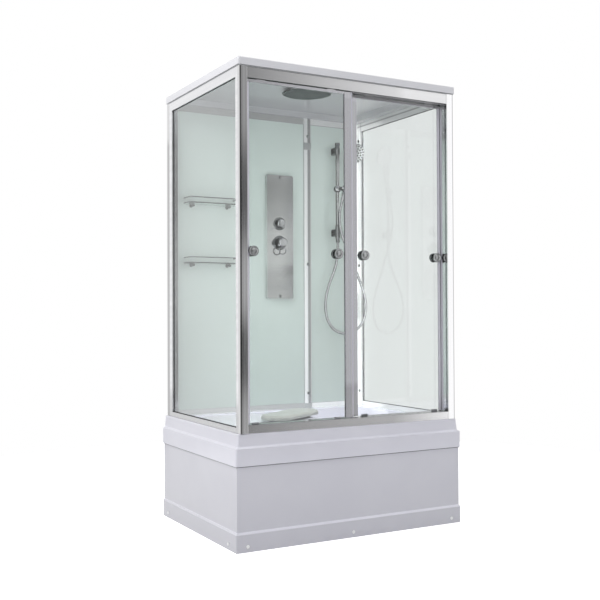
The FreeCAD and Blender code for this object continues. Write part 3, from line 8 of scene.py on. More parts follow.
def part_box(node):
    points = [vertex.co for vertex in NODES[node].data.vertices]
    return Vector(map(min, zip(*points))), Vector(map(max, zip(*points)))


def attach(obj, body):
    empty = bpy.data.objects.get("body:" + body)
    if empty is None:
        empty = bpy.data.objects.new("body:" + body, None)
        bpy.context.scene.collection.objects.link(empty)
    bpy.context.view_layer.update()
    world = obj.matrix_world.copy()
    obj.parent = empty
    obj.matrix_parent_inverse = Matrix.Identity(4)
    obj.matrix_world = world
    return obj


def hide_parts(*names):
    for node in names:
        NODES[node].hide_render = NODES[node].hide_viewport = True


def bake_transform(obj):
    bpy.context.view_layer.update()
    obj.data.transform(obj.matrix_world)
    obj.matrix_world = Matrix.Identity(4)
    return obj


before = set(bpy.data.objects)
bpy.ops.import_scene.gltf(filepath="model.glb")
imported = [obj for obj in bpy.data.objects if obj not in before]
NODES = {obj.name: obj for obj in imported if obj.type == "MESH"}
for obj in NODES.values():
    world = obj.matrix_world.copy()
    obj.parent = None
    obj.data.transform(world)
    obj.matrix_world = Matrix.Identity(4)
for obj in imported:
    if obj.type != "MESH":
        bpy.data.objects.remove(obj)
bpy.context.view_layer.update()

scene = bpy.context.scene
TAU = 2 * math.pi
X, Y, Z = range(3)

# Camera at the photograph's view, solved from the tray, frame and roof corners
PHOTO_SIZE = 600.0
PHOTO_FOCAL = 916.617
SENSOR = 36.0
CAMERA_REACH = 100
CAMERA_PLACE = Vector((-2.27812, -4.02709, 1.03017))
CAMERA_YAW = math.radians(28.998)
CAMERA_PITCH = math.radians(0.855)
CAMERA_ROLL = math.radians(-0.238)


def make_camera():
    forward = Vector((math.sin(CAMERA_YAW) * math.cos(CAMERA_PITCH),
                      math.cos(CAMERA_YAW) * math.cos(CAMERA_PITCH), math.sin(CAMERA_PITCH)))
    level = Vector((math.cos(CAMERA_YAW), -math.sin(CAMERA_YAW), 0))
    above = level.cross(forward)
    right = level * math.cos(CAMERA_ROLL) + above * math.sin(CAMERA_ROLL)
    up = above * math.cos(CAMERA_ROLL) - level * math.sin(CAMERA_ROLL)
    data = bpy.data.cameras.new("camera")
    data.sensor_width = SENSOR
    data.lens = PHOTO_FOCAL / PHOTO_SIZE * SENSOR
    data.clip_end = CAMERA_REACH
    camera = bpy.data.objects.new("camera", data)
    turn = Matrix((right, up, -forward)).transposed().to_4x4()
    camera.matrix_world = Matrix.Translation(CAMERA_PLACE) @ turn
    scene.collection.objects.link(camera)
    scene.camera = camera


make_camera()


# Mesh helpers; angles are in degrees
WELD_DISTANCE = 1e-6
SHARP_ANGLE = 40
SWEEP_ANGLE = 50


def add_object(name, mesh):
    piece = bpy.data.objects.new(name, mesh)
    scene.collection.objects.link(piece)
    return piece


def finish_mesh(name, mesh, angle=SHARP_ANGLE):
    # an object with smooth faces, and with sharp edges where they meet at more than the angle
    bmesh.ops.recalc_face_normals(mesh, faces=mesh.faces)
    data = bpy.data.meshes.new(name)
    mesh.to_mesh(data)
    mesh.free()
    data.polygons.foreach_set("use_smooth", [True] * len(data.polygons))
    data.set_sharp_from_angle(angle=math.radians(angle))
    return add_object(name, data)


def add_rings(mesh, rings, closed=False):
    # skins a row of equal rings; without closed the two ends get caps
    following = rings[1:] + rings[:1] if closed else rings[1:]
    for low, high in zip(rings, following):
        for j in range(len(low)):
            k = (j + 1) % len(low)
            mesh.faces.new((low[j], low[k], high[k], high[j]))
    if not closed:
        mesh.faces.new(list(reversed(rings[0])))
        mesh.faces.new(rings[-1])


def on_circle(side, other, turn):
    return side * math.cos(turn) + other * math.sin(turn)


def square_to(axis):
    # the axis and two directions square to it, all of unit length
    axis = axis.normalized()
    side = axis.orthogonal().normalized()
    return axis, side, axis.cross(side)


def add_lathe(mesh, profile, place, axis, segments):
    # profile holds (radius, along the axis) pairs; the ends close on small discs
    axis, side, other = square_to(axis)
    rings = []
    for radius, along in profile:
        rings.append([mesh.verts.new(place + axis * along
                                     + on_circle(side, other, TAU * j / segments) * radius)
                      for j in range(segments)])
    add_rings(mesh, rings)


def spline_points(route, steps):
    # the smooth line that a NURBS spline gives for a route's points
    curve = bpy.data.curves.new("line", "CURVE")
    curve.dimensions = "3D"
    curve.resolution_u = steps
    spline = curve.splines.new("NURBS")
    spline.points.add(len(route) - 1)
    for target, place in zip(spline.points, route):
        target.co = (*place, 1)
    spline.order_u = 3
    spline.use_endpoint_u = True
    holder = bpy.data.objects.new("line", curve)
    mesh = bpy.data.meshes.new_from_object(holder)
    points = [v.co.copy() for v in mesh.vertices]
    bpy.data.objects.remove(holder)
    bpy.data.curves.remove(curve)
    bpy.data.meshes.remove(mesh)
    return points


def resample(points, spacing):
    # points at equal steps of about the spacing along a line
    lengths = [0.0]
    for a, b in zip(points, points[1:]):
        lengths.append(lengths[-1] + (b - a).length)
    total = lengths[-1]
    count = max(2, round(total / spacing))
    result = []
    index = 0
    for step in range(count + 1):
        s = total * step / count
        while index < len(points) - 2 and lengths[index + 1] < s:
            index += 1
        share = (s - lengths[index]) / (lengths[index + 1] - lengths[index])
        result.append(points[index].lerp(points[index + 1], share))
    return result


def swept(name, points, sides, radius_at):
    # a closed tube along points; radius_at(distance, angle) gives its radius
    mesh = bmesh.new()
    tangents = []
    for i in range(len(points)):
        a = points[max(i - 1, 0)]
        b = points[min(i + 1, len(points) - 1)]
        tangents.append((b - a).normalized())
    normal = tangents[0].orthogonal().normalized()
    rings = []
    distance = 0.0
    for i, place in enumerate(points):
        if i:
            distance += (place - points[i - 1]).length
            normal = tangents[i - 1].rotation_difference(tangents[i]) @ normal
        side = tangents[i].cross(normal)
        ring = []
        for j in range(sides):
            angle = TAU * j / sides
            reach = on_circle(normal, side, angle) * radius_at(distance, angle)
            ring.append(mesh.verts.new(place + reach))
        rings.append(ring)
    add_rings(mesh, rings)
    return finish_mesh(name, mesh, SWEEP_ANGLE)


# Free hose: out of the nut under the bar, down in a loop and up to the sleeve
HOSE_RADIUS = 0.007
HOSE_PITCH = 0.0034
HOSE_GROOVE = 0.0009
HOSE_SIDES = 20
STEPS_PER_RIB = 4
STEPS_PER_SPAN = 24
HANDSET_PIVOT = Vector((0.424, 0.323, 1.727))
HANDLE_DIRECTION = Vector((0.243, -0.0655, 0.968)).normalized()
HANDLE_END = 0.034
BOOT_LENGTH = 0.040
BOOT_RADIUS = 0.0075
BOOT_FLARE = 0.0028
BOOT_RIBS = 5
BOOT_GROOVE = 0.0008
BOOT_STEPS = 32
BOOT_SIDES = 28
HOSE_GAP = 0.0003
HOSE_LEAD = 0.048
HOSE_END = HANDSET_PIVOT - HANDLE_DIRECTION * (HANDLE_END + BOOT_LENGTH + HOSE_GAP)
HOSE_ROUTE = [Vector(p) for p in (
    (0.398, 0.363, 1.429),
    (0.398, 0.363, 1.377),
    (0.391, 0.362, 1.322),
    (0.367, 0.360, 1.255),
    (0.334, 0.356, 1.190),
    (0.311, 0.351, 1.118),
    (0.305, 0.347, 1.045),
    (0.322, 0.344, 0.978),
    (0.368, 0.340, 0.930),
    (0.430, 0.335, 0.915),
    (0.492, 0.325, 0.932),
    (0.534, 0.312, 0.983),
    (0.549, 0.304, 1.055),
    (0.537, 0.302, 1.130),
    (0.509, 0.305, 1.205),
    (0.476, 0.311, 1.285),
    (0.443, 0.319, 1.365),
    (0.412, 0.326, 1.440),
    (0.395, 0.331, 1.505),
    (0.390, 0.332, 1.558),
)] + [HOSE_END - HANDLE_DIRECTION * HOSE_LEAD, HOSE_END]


def make_hose():
    step = HOSE_PITCH / STEPS_PER_RIB
    points = resample(spline_points(HOSE_ROUTE, STEPS_PER_SPAN), step)

    def radius_at(distance, angle):
        phase = (distance / HOSE_PITCH + angle / TAU) % 1
        dip = max(0.0, math.cos(TAU * phase)) ** 2
        return HOSE_RADIUS - HOSE_GROOVE * dip

    piece = swept("hose", points, HOSE_SIDES, radius_at)
    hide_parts("shower_hose")
    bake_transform(piece)


def make_boot():
    # flexible sleeve between the handle and the hose
    handle_foot = HANDSET_PIVOT - HANDLE_DIRECTION * HANDLE_END
    points = [HOSE_END.lerp(handle_foot, i / BOOT_STEPS) for i in range(BOOT_STEPS + 1)]

    def radius_at(distance, angle):
        share = distance / BOOT_LENGTH
        groove = BOOT_GROOVE * max(0.0, math.cos(TAU * share * BOOT_RIBS)) ** 2
        return BOOT_RADIUS + BOOT_FLARE * share - groove

    piece = swept("hose_sleeve", points, BOOT_SIDES, radius_at)
    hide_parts("hose_boot")
    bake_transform(piece)


make_hose()
make_boot()


# Small pieces that the solids leave out, placed from the frame's own boxes; all in metres
GLASS_BITE = 0.0097
LIP_BACK = 0.0012
LIP_WIDTH = 0.0026
LIP_HEIGHT = 0.0022
LIP_EDGE = ((1.0, 0.4), (0.6, 0.85), (0.2, 1.0))  # shares of the lip's width and height
BOTH_FACES = (0, 1)
FRONT_FACE = (0,)


def lip_section(side):
    # a soft lip lying on the glass; side is the way that it stands out
    edge = [(wide * LIP_WIDTH, tall * LIP_HEIGHT * side) for wide, tall in LIP_EDGE]
    return [(-LIP_BACK, 0.0), (LIP_WIDTH, 0.0)] + edge + [(-LIP_BACK, LIP_HEIGHT * side)]


def add_glazing_loop(mesh, low, high, through, face, side):
    # a mitred lip round the opening between low and high, on the glass face at `face`
    u, v = [axis for axis in range(3) if axis != through]
    rings = []
    for at_u, at_v in ((0, 0), (1, 0), (1, 1), (0, 1)):
        ring = []
        for inwards, out in lip_section(side):
            place = [0.0, 0.0, 0.0]
            place[u] = high[u] - inwards if at_u else low[u] + inwards
            place[v] = high[v] - inwards if at_v else low[v] + inwards
            place[through] = face + out
            ring.append(mesh.verts.new(place))
        rings.append(ring)
    add_rings(mesh, rings, closed=True)


def make_glazing(name, node, through, body, faces=BOTH_FACES):
    # lips on the faces of a pane that lie square to the axis `through`
    low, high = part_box(node)
    bite = Vector([0 if axis == through else GLASS_BITE for axis in range(3)])
    mesh = bmesh.new()
    for face in faces:
        level = (low, high)[face][through]
        add_glazing_loop(mesh, low + bite, high - bite, through, level, (-1, 1)[face])
    piece = finish_mesh(name, mesh)
    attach(piece, body)


def islands(node):
    # (lowest corner, highest corner) of each loose solid in a node, sorted so that each run
    # gives them in the same order
    mesh = bmesh.new()
    mesh.from_mesh(NODES[node].data)
    bmesh.ops.remove_doubles(mesh, verts=mesh.verts, dist=WELD_DISTANCE)
    left = set(mesh.verts)
    boxes = []
    while left:
        reached = [left.pop()]
        for vert in reached:
            for edge in vert.link_edges:
                other = edge.other_vert(vert)
                if other in left:
                    left.remove(other)
                    reached.append(other)
        places = [v.co for v in reached]
        boxes.append((Vector([min(p[i] for p in places) for i in range(3)]),
                      Vector([max(p[i] for p in places) for i in range(3)])))
    mesh.free()
    return sorted(boxes, key=lambda corners: (*corners[0], *corners[1]))


CROSS_REACH = 0.80  # shares of the head's radius
CROSS_ARM = 0.30
CROSS_DEPTH = 0.0006
CROSS_PROUD = 0.0001
# (share of the head's radius, along the axis)
WASHER_PROFILE = ((0.6, 0.0), (1.22, 0.0), (1.3, 0.0004), (1.22, 0.0009), (0.6, 0.0009))
WASHER_SEAT = 0.0032
# a screw points along x where its box is longer that way, or as wide as it is high
LONGER_BY = 0.002
EQUAL_WITHIN = 0.0005


def add_cross(mesh, place, axis, radius):
    # the cross recess of a screw as a dark cross a hair proud of its head: painted shade in the
    # recess
    up = Vector((0, 0, 1))
    side = up.cross(axis).normalized()
    reach = CROSS_REACH * radius
    arm = CROSS_ARM * radius
    outline = [(-arm, -reach), (arm, -reach), (arm, -arm), (reach, -arm), (reach, arm),
               (arm, arm), (arm, reach), (-arm, reach), (-arm, arm), (-reach, arm),
               (-reach, -arm), (-arm, -arm)]
    rings = [[mesh.verts.new(place + side * a + up * b + axis * level) for a, b in outline]
             for level in (-CROSS_DEPTH, CROSS_PROUD)]
    add_rings(mesh, rings)


def make_screw_details():
    # each screw's cross recess in painted shade, and the washer under the head
    crosses = bmesh.new()
    washers = bmesh.new()
    for low, high in islands("wall_screws"):
        size = high - low
        middle = (low + high) / 2
        radius = size.z / 2
        if size.x > size.y + LONGER_BY or abs(size.y - size.z) < EQUAL_WITHIN:
            axis = Vector((-1, 0, 0))
            head = Vector((low.x, middle.y, middle.z))
        else:
            axis = Vector((0, -1, 0))
            head = Vector((middle.x, low.y, middle.z))
        add_cross(crosses, head, axis, radius)
        profile = [(share * radius, along) for share, along in WASHER_PROFILE]
        add_lathe(washers, profile, head - axis * WASHER_SEAT, axis, segments=36)
    for name, mesh in (("screw_cross_shades", crosses), ("screw_washers", washers)):
        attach(finish_mesh(name, mesh), "root")


# painted shadow ring round each skirt screw cap
# (beyond the cap's radius, along the axis)
CAP_SHADOW_RING = ((-0.001, -0.001), (0.0006, -0.001), (0.0006, 0.0003), (-0.001, 0.0003))


def make_cap_shadow_rings():
    # a thin grey ring round each skirt screw cap: painted shadow round the cap
    mesh = bmesh.new()
    for low, high in islands("skirt_screw_caps"):
        middle = (low + high) / 2
        radius = (high.z - low.z) / 2
        if high.y - low.y > high.x - low.x:
            side = -1 if middle.x < 0 else 1
            axis = Vector((side, 0, 0))
            face = Vector((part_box("left_skirt")[0].x if side < 0 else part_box("right_skirt")[1].x,
                           middle.y, middle.z))
        else:
            axis = Vector((0, -1, 0))
            face = Vector((middle.x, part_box("front_skirt")[0].y, middle.z))
        profile = [(radius + beyond, along) for beyond, along in CAP_SHADOW_RING]
        add_lathe(mesh, profile, face, axis, segments=40)
    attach(finish_mesh("cap_shadow_rings", mesh), "root")


STRIP_ANGLE = 30
BAND_WITHIN = 0.0005  # how near the tray's left side a point of its band lies
# the dark line under the tray's band: painted shadow
BAND_SHADOW_SHORT = Vector((0, 0.004, 0))
BAND_SHADOW_DROP = 0.0034
BAND_SHADOW_OVERLAP = 0.0002
BAND_SHADOW_INSET = 0.0045
BAND_SHADOW_DEPTH = 0.007
# the grey line under the roof: painted shadow
ROOF_SHADOW_HEIGHT = 0.0042
ROOF_SHADOW_PROUD = 0.0005
ROOF_SHADOW_DEPTH = 0.0015


def add_edge_strip(mesh, low, high, bottom, top, inset, depth):
    # a mitred strip along the left, front and right sides of the outline between low and high
    rings = []
    for x, y, turn_x, turn_y in ((low.x, high.y, 1, 0), (low.x, low.y, 1, 1),
                                 (high.x, low.y, -1, 1), (high.x, high.y, -1, 0)):
        rings.append([mesh.verts.new((x + turn_x * reach, y + turn_y * reach, level))
                      for reach, level in ((inset, bottom), (inset, top), (inset + depth, top),
                                           (inset + depth, bottom))])
    add_rings(mesh, rings)


def make_shadow_lines():
    # painted shadow: a dark line under the tray's band along the skirt panels, and a grey line under
    # the roof
    low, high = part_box("tray_basin")
    band_foot = min(v.co.z for v in NODES["tray_basin"].data.vertices
                    if v.co.x < low.x + BAND_WITHIN)
    mesh = bmesh.new()
    add_edge_strip(mesh, low, high - BAND_SHADOW_SHORT, band_foot - BAND_SHADOW_DROP,
                   band_foot + BAND_SHADOW_OVERLAP, BAND_SHADOW_INSET, BAND_SHADOW_DEPTH)
    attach(finish_mesh("band_shadow_line", mesh, STRIP_ANGLE), "root")
    low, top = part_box("front_left_post")
    high = Vector((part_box("front_right_post")[1].x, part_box("rear_right_post")[0].y, 0))
    mesh = bmesh.new()
    add_edge_strip(mesh, low, high, top.z - ROOF_SHADOW_HEIGHT, top.z, -ROOF_SHADOW_PROUD, ROOF_SHADOW_DEPTH)
    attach(finish_mesh("roof_shadow_line", mesh, STRIP_ANGLE), "root")


FACE_DIRECTION = Vector((-0.12, -0.93, -0.35)).normalized()
FACE_WITHIN = 0.0003
NOZZLE_RINGS = 3
NOZZLES_PER_RING = 6  # each ring has this many more than the one inside it
NOZZLE_SPACING = 0.0145
NOZZLE_RADIUS = 0.0042
NOZZLE_HEIGHT = 0.0016
NOZZLE_BASE = 1.25
NOZZLE_WALL = ((1.2, 0.3), (1.0, 1.0), (0.5, 1.0), (0.4, 0.6))  # shares of radius and height
SUNK = 0.0002
# the dark disc under the rain head: painted dark reflection
RAIN_SHADE_CENTRE = 0.001
# (beyond the head's radius, along the axis)
RAIN_SHADE_EDGE = ((-0.009, -SUNK), (-0.0075, 0.0003), (-0.009, 0.0008))


def add_nozzles(mesh, centre):
    axis, side, other = square_to(FACE_DIRECTION)
    profile = [(NOZZLE_BASE * NOZZLE_RADIUS, -SUNK)]
    profile += [(wide * NOZZLE_RADIUS, tall * NOZZLE_HEIGHT) for wide, tall in NOZZLE_WALL]
    for ring in range(NOZZLE_RINGS + 1):
        count = max(1, NOZZLES_PER_RING * ring)
        for k in range(count):
            turn = TAU * (k + 0.5 * (ring % 2)) / count
            place = centre + on_circle(side, other, turn) * ring * NOZZLE_SPACING
            add_lathe(mesh, profile, place, axis, segments=14)


def make_spray_details():
    # a dark disc under the rain head, painted dark reflection on its face, and the soft nozzles of
    # the hand shower
    low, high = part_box("rain_shower")
    middle = (low + high) / 2
    radius = (high.x - low.x) / 2
    profile = [(RAIN_SHADE_CENTRE, RAIN_SHADE_EDGE[0][1])]
    profile += [(radius + beyond, along) for beyond, along in RAIN_SHADE_EDGE]
    profile.append((RAIN_SHADE_CENTRE, RAIN_SHADE_EDGE[-1][1]))
    mesh = bmesh.new()
    add_lathe(mesh, profile, Vector((middle.x, middle.y, low.z)), Vector((0, 0, -1)), segments=96)
    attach(finish_mesh("rain_shade_disc", mesh), "root")
    places = [v.co.copy() for v in NODES["hand_shower_face"].data.vertices]
    front = max(p.dot(FACE_DIRECTION) for p in places)
    on_front = [p for p in places if front - p.dot(FACE_DIRECTION) < FACE_WITHIN]
    mesh = bmesh.new()
    add_nozzles(mesh, sum(on_front, Vector()) / len(on_front))
    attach(finish_mesh("spray_nozzles", mesh), "handset")


THREAD_ANGLE = 60
THREAD_PITCH = 0.00175
THREAD_FOOT = 0.0135
THREAD_HEAD = 0.0095
THREAD_ROOT = 0.0052
THREAD_CREST = 0.0063
THREAD_VALLEY = 0.0060


def make_foot_threads():
    # the threads on the six adjusting rods
    mesh = bmesh.new()
    for low, high in islands("levelling_feet"):
        middle = (low + high) / 2
        start = low.z + THREAD_FOOT
        turns = int((high.z - THREAD_HEAD - start) / THREAD_PITCH)
        profile = [(THREAD_ROOT, 0.0)]
        for turn in range(turns):
            profile += [(THREAD_CREST, (turn + 0.5) * THREAD_PITCH),
                        (THREAD_VALLEY, (turn + 1) * THREAD_PITCH)]
        profile.append((THREAD_ROOT, turns * THREAD_PITCH))
        add_lathe(mesh, profile, Vector((middle.x, middle.y, start)), Vector((0, 0, 1)),
                  segments=28)
    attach(finish_mesh("foot_threads", mesh, THREAD_ANGLE), "root")


PANEL_SCREW = ((0.0060, -0.0004), (0.0062, 0.0012), (0.0052, 0.0024), (0.0018, 0.0026),
               (0.0016, 0.0016))
PANEL_SCREW_INSET = 0.012


def make_panel_screws():
    # the two small dark screws that hold the mixer panel
    low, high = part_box("mixer_panel")
    middle = (low + high) / 2
    mesh = bmesh.new()
    for level in (low.z + PANEL_SCREW_INSET, high.z - PANEL_SCREW_INSET):
        add_lathe(mesh, PANEL_SCREW, Vector((middle.x, low.y, level)), Vector((0, -1, 0)),
                  segments=28)
    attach(finish_mesh("panel_screws", mesh), "root")


CLIP_ANGLE = 35
CLIP_PLACES = ((0.0006, 0.024), (1.432, 0.040))  # (start above the tray, height)
CLIP_PROUD = 0.0016
CLIP_GRIP = 0.003
CLIP_SLOPE = 0.002
CLIP_CORNER = 0.001
CLIP_TOP = ((0.003, 0.0), (0.0005, 0.0008), (0.0, 0.0018))  # (below the top, pulled back)


def make_column_clips():
    # the plastic clips near the foot and the top of the back wall's column
    low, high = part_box("rear_centre_column")
    tray_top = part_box("tray_basin")[1].z
    front = low.y - CLIP_PROUD
    outline = [(low.x - CLIP_PROUD, low.y + CLIP_GRIP), (low.x - CLIP_PROUD, front + CLIP_SLOPE),
               (low.x + CLIP_CORNER, front), (high.x - CLIP_CORNER, front),
               (high.x + CLIP_PROUD, front + CLIP_SLOPE), (high.x + CLIP_PROUD, low.y + CLIP_GRIP)]
    mesh = bmesh.new()
    for start, height in CLIP_PLACES:
        rings = []
        for level, pull in [(0.0, 0.0)] + [(height - below, pull) for below, pull in CLIP_TOP]:
            rings.append([mesh.verts.new((x, y + pull if y < low.y else y,
                                          tray_top + start + level)) for x, y in outline])
        add_rings(mesh, rings)
    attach(finish_mesh("column_clips", mesh, CLIP_ANGLE), "root")


make_glazing("left_glazing", "left_side_glass", X, "root")
make_glazing("right_glazing", "right_side_glass", X, "root")
make_glazing("wall_glazing_left", "rear_left_panel", Y, "root", FRONT_FACE)
make_glazing("wall_glazing_right", "rear_right_panel", Y, "root", FRONT_FACE)
make_screw_details()
make_cap_shadow_rings()
make_shadow_lines()
make_spray_details()
make_foot_threads()
make_column_clips()
make_panel_screws()


# Materials: node trees in code, with detail at the real scale
NOISE_LOW, NOISE_HIGH = 0.3, 0.7
CLOUD_LOW, CLOUD_HIGH = 0.35, 0.65
COAT_ROUGHNESS = 0.06
GLASS_IOR = 1.45
GLASS_LIFT = 1.012
GLASS_CLOUD = 3.0
GLASS_GRAIN = 40.0


def new_material(name):
    material = bpy.data.materials.new(name)
    material.use_nodes = True
    return material, material.node_tree, material.node_tree.nodes["Principled BSDF"]


def feed(tree, node, inputs):
    # inputs maps sockets to other nodes' outputs or to constants
    for socket, value in inputs.items():
        if isinstance(value, bpy.types.NodeSocket):
            tree.links.new(value, node.inputs[socket])
        else:
            node.inputs[socket].default_value = value


def add_node(tree, kind, inputs, operation=None):
    node = tree.nodes.new(kind)
    if operation:
        node.operation = operation
    feed(tree, node, inputs)
    return node.outputs


def coordinates(tree, scale=(1, 1, 1)):
    coords = add_node(tree, "ShaderNodeTexCoord", {})
    return add_node(tree, "ShaderNodeMapping",
                    {"Vector": coords["Object"], "Scale": scale})["Vector"]


def noise(tree, vector, scale, detail=3.0, roughness=0.5):
    return add_node(tree, "ShaderNodeTexNoise",
                    {"Vector": vector, "Scale": scale, "Detail": detail,
                     "Roughness": roughness})["Fac"]


def ramp(tree, value, stops):
    node = tree.nodes.new("ShaderNodeValToRGB")
    node.color_ramp.elements[0].position = stops[0][0]
    node.color_ramp.elements[0].color = (*stops[0][1], 1)
    node.color_ramp.elements[1].position = stops[-1][0]
    node.color_ramp.elements[1].color = (*stops[-1][1], 1)
    for place, colour in stops[1:-1]:
        node.color_ramp.elements.new(place).color = (*colour, 1)
    feed(tree, node, {"Fac": value})
    return node.outputs["Color"]


def greys(steps):
    return [(place, (level,) * 3) for place, level in steps]


def map_range(tree, value, low, high, to_low=0.0, to_high=1.0):
    return add_node(tree, "ShaderNodeMapRange",
                    {"Value": value, "From Min": low, "From Max": high, "To Min": to_low,
                     "To Max": to_high})["Result"]


def shaded(tree, colour, shades):
    # multiplies a colour by grey steps of painted light and shade, each along an axis of the
    # object (a number) or along a direction of its normals (a vector)
    for measure, low, high, steps in shades:
        coords = add_node(tree, "ShaderNodeTexCoord", {})
        if isinstance(measure, int):
            value = add_node(tree, "ShaderNodeSeparateXYZ", {"Vector": coords["Object"]})[measure]
        else:
            value = add_node(tree, "ShaderNodeVectorMath", {0: coords["Normal"], 1: measure},
                             "DOT_PRODUCT")["Value"]
        grey = ramp(tree, map_range(tree, value, low, high), greys(steps))
        colour = add_node(tree, "ShaderNodeVectorMath", {0: colour, 1: grey}, "MULTIPLY")["Vector"]
    return colour


def across(node, axis, steps):
    # steps over the width of one node, as shares of its box
    low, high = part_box(node)
    return (axis, low[axis], high[axis], steps)


def surface(name, dark, light, rough, metallic=0.0, scale=8.0, stretch=(1, 1, 1), grain=60.0,
            bump_strength=0.05, bump_distance=0.0005, coat=0.0, ior=None, shades=()):
    # a painted, moulded or metal surface: mottled colour, uneven gloss, a fine relief, and painted
    # light and shade from its shades
    material, tree, shader = new_material(name)
    vector = coordinates(tree, stretch)
    cloud = noise(tree, vector, scale)
    fine = noise(tree, vector, grain, detail=4.0, roughness=0.6)
    colour = ramp(tree, cloud, [(CLOUD_LOW, dark), (CLOUD_HIGH, light)])
    relief = add_node(tree, "ShaderNodeBump", {"Height": fine, "Strength": bump_strength,
                                               "Distance": bump_distance})
    feed(tree, shader, {
        "Base Color": shaded(tree, colour, shades),
        "Roughness": map_range(tree, fine, NOISE_LOW, NOISE_HIGH, *rough),
        "Normal": relief["Normal"],
        "Metallic": metallic,
    })
    if coat:
        feed(tree, shader, {"Coat Weight": coat, "Coat Roughness": COAT_ROUGHNESS})
    if ior:
        feed(tree, shader, {"IOR": ior})
    return material


def clear_glass(name, tint, passed, rough, shades=()):
    # lamps shine through the pane, which the shader's own refraction would stop
    material, tree, shader = new_material(name)
    vector = coordinates(tree)
    cloud = noise(tree, vector, GLASS_CLOUD)
    fine = noise(tree, vector, GLASS_GRAIN)
    lifted = tuple(min(1, c * GLASS_LIFT) for c in tint)
    colour = ramp(tree, cloud, [(NOISE_LOW, tint), (NOISE_HIGH, lifted)])
    feed(tree, shader, {
        "Base Color": shaded(tree, colour, shades),
        "Roughness": map_range(tree, fine, NOISE_LOW, NOISE_HIGH, *rough),
        "Transmission Weight": 1.0,
        "IOR": GLASS_IOR,
    })
    open_way = add_node(tree, "ShaderNodeBsdfTransparent", {"Color": (*passed, 1)})
    path = add_node(tree, "ShaderNodeLightPath", {})
    mix = add_node(tree, "ShaderNodeMixShader",
                   {"Fac": path["Is Shadow Ray"], 1: shader.outputs["BSDF"], 2: open_way["BSDF"]})
    feed(tree, tree.nodes["Material Output"], {"Surface": mix["Shader"]})
    return material


# Grey steps of painted light and shade: painted reflection streaks on polished and drawn metal,
# and painted shade and highlights on the moulded faces.
# A row is an axis or a direction of the normals, its two ends, and (share, grey) pairs.
# GLEAM: the direction from which painted reflection bands are laid over chrome and the hose
GLEAM = (-0.47, -0.85, 0.23)
UP = (0, 0, 1)
# painted reflection: light and dark bands on chrome by the way each face turns
CHROME = [(GLEAM, -1, 1, [(0.50, 0.05), (0.56, 0.25), (0.61, 0.95), (0.65, 0.95), (0.69, 0.10),
                          (0.82, 0.08), (0.88, 0.55), (0.93, 1.0), (1.0, 1.0)])]
# painted highlights along the tray's top edge and along its ledge
TRAY = [(Z, 0.30, 0.52, [(0.0, 1.0), (0.62, 1.0), (0.67, 1.0), (0.68, 1.1), (0.715, 1.1),
                         (0.725, 1.0), (0.93, 1.0), (0.945, 1.1), (1.0, 1.1)])]
# painted shade on the plinth, a painted highlight on its top edge, and the left face painted darker
SKIRT = [(Z, 0.0, 0.38, [(0.0, 0.77), (0.20, 0.77), (0.207, 1.1), (0.228, 1.1), (0.236, 0.80),
                         (0.6, 0.85), (1.0, 0.91)]),
         ((-1, 0, 0), -1, 1, [(0.0, 1.0), (0.9, 1.0), (0.98, 0.90), (1.0, 0.90)])]
# painted shade: faces turned down, under the roof, darker
UNDERSIDE = [(UP, -1, 1, [(0.0, 0.62), (0.2, 0.66), (0.4, 1.0), (1.0, 1.0)])]
# painted shade low on the back glass, painted light high up
WALL = [(Z, 0.5, 2.0, [(0.0, 0.86), (0.33, 0.93), (0.67, 1.03), (1.0, 1.24)])]
# painted reflection bands down the mixer panel
PANEL = [across("mixer_panel", Z, [(0.0, 0.92), (0.10, 0.84), (0.20, 0.92), (0.30, 1.1),
                                   (0.52, 1.12), (0.66, 0.94), (0.82, 0.76), (0.92, 0.70),
                                   (1.0, 0.78)])]
# painted shade on the edge faces of the shelf glass
SHELF_EDGE = [(UP, -1, 1, [(0.0, 1.0), (0.12, 1.0), (0.2, 0.30), (0.8, 0.30), (0.88, 1.0),
                           (1.0, 1.0)])]
# painted reflection streaks across the faces of the posts; the rear post is also painted darker low
# and lighter at the top
POST_LEFT = [across("front_left_post", X, [(0.0, 0.95), (0.03, 1.0), (0.05, 0.44), (0.13, 0.40),
                                           (0.16, 0.15), (0.24, 0.15), (0.28, 0.95), (0.36, 0.72),
                                           (0.55, 0.90), (0.80, 0.80), (0.94, 0.85), (0.97, 1.2),
                                           (1.0, 1.2)])]
POST_RIGHT = [across("front_right_post", X, [(0.0, 1.0), (0.04, 1.0), (0.06, 0.55), (0.10, 1.0),
                                             (0.86, 1.0), (0.88, 0.45), (0.95, 0.45),
                                             (1.0, 1.0)]),
              across("front_right_post", Y, [(0.0, 1.0), (0.05, 1.0), (0.08, 0.30), (0.2, 0.35),
                                             (0.26, 0.8), (0.72, 0.8), (0.78, 0.3),
                                             (1.0, 0.25)])]
POST_REAR = [across("rear_left_post", X, [(0.0, 0.70), (0.05, 0.70), (0.08, 0.3), (0.3, 0.3),
                                          (0.36, 0.6), (0.5, 0.5), (0.6, 0.72), (0.8, 0.5),
                                          (1.0, 0.7)]),
             across("rear_left_post", Z, [(0.0, 0.72), (0.86, 0.78), (0.89, 1.1), (1.0, 1.1)])]
# painted reflection: a light half and a dark half across the column
COLUMN = [across("rear_centre_column", X, [(0.0, 0.85), (0.02, 1.0), (0.44, 1.0), (0.50, 0.62),
                                           (0.56, 0.34), (0.88, 0.36), (0.93, 0.7),
                                           (1.0, 0.8)])]
# painted reflection bands across the slide bar
BAR = [across("slide_bar", X, [(0.0, 0.30), (0.12, 0.30), (0.22, 0.9), (0.40, 1.0), (0.70, 0.95),
                               (0.78, 0.16), (1.0, 0.12)])]
# painted reflection bands on the hose
HOSE = [(GLEAM, -1, 1, [(0.5, 0.06), (0.84, 0.10), (0.92, 1.0), (1.0, 1.0)])]
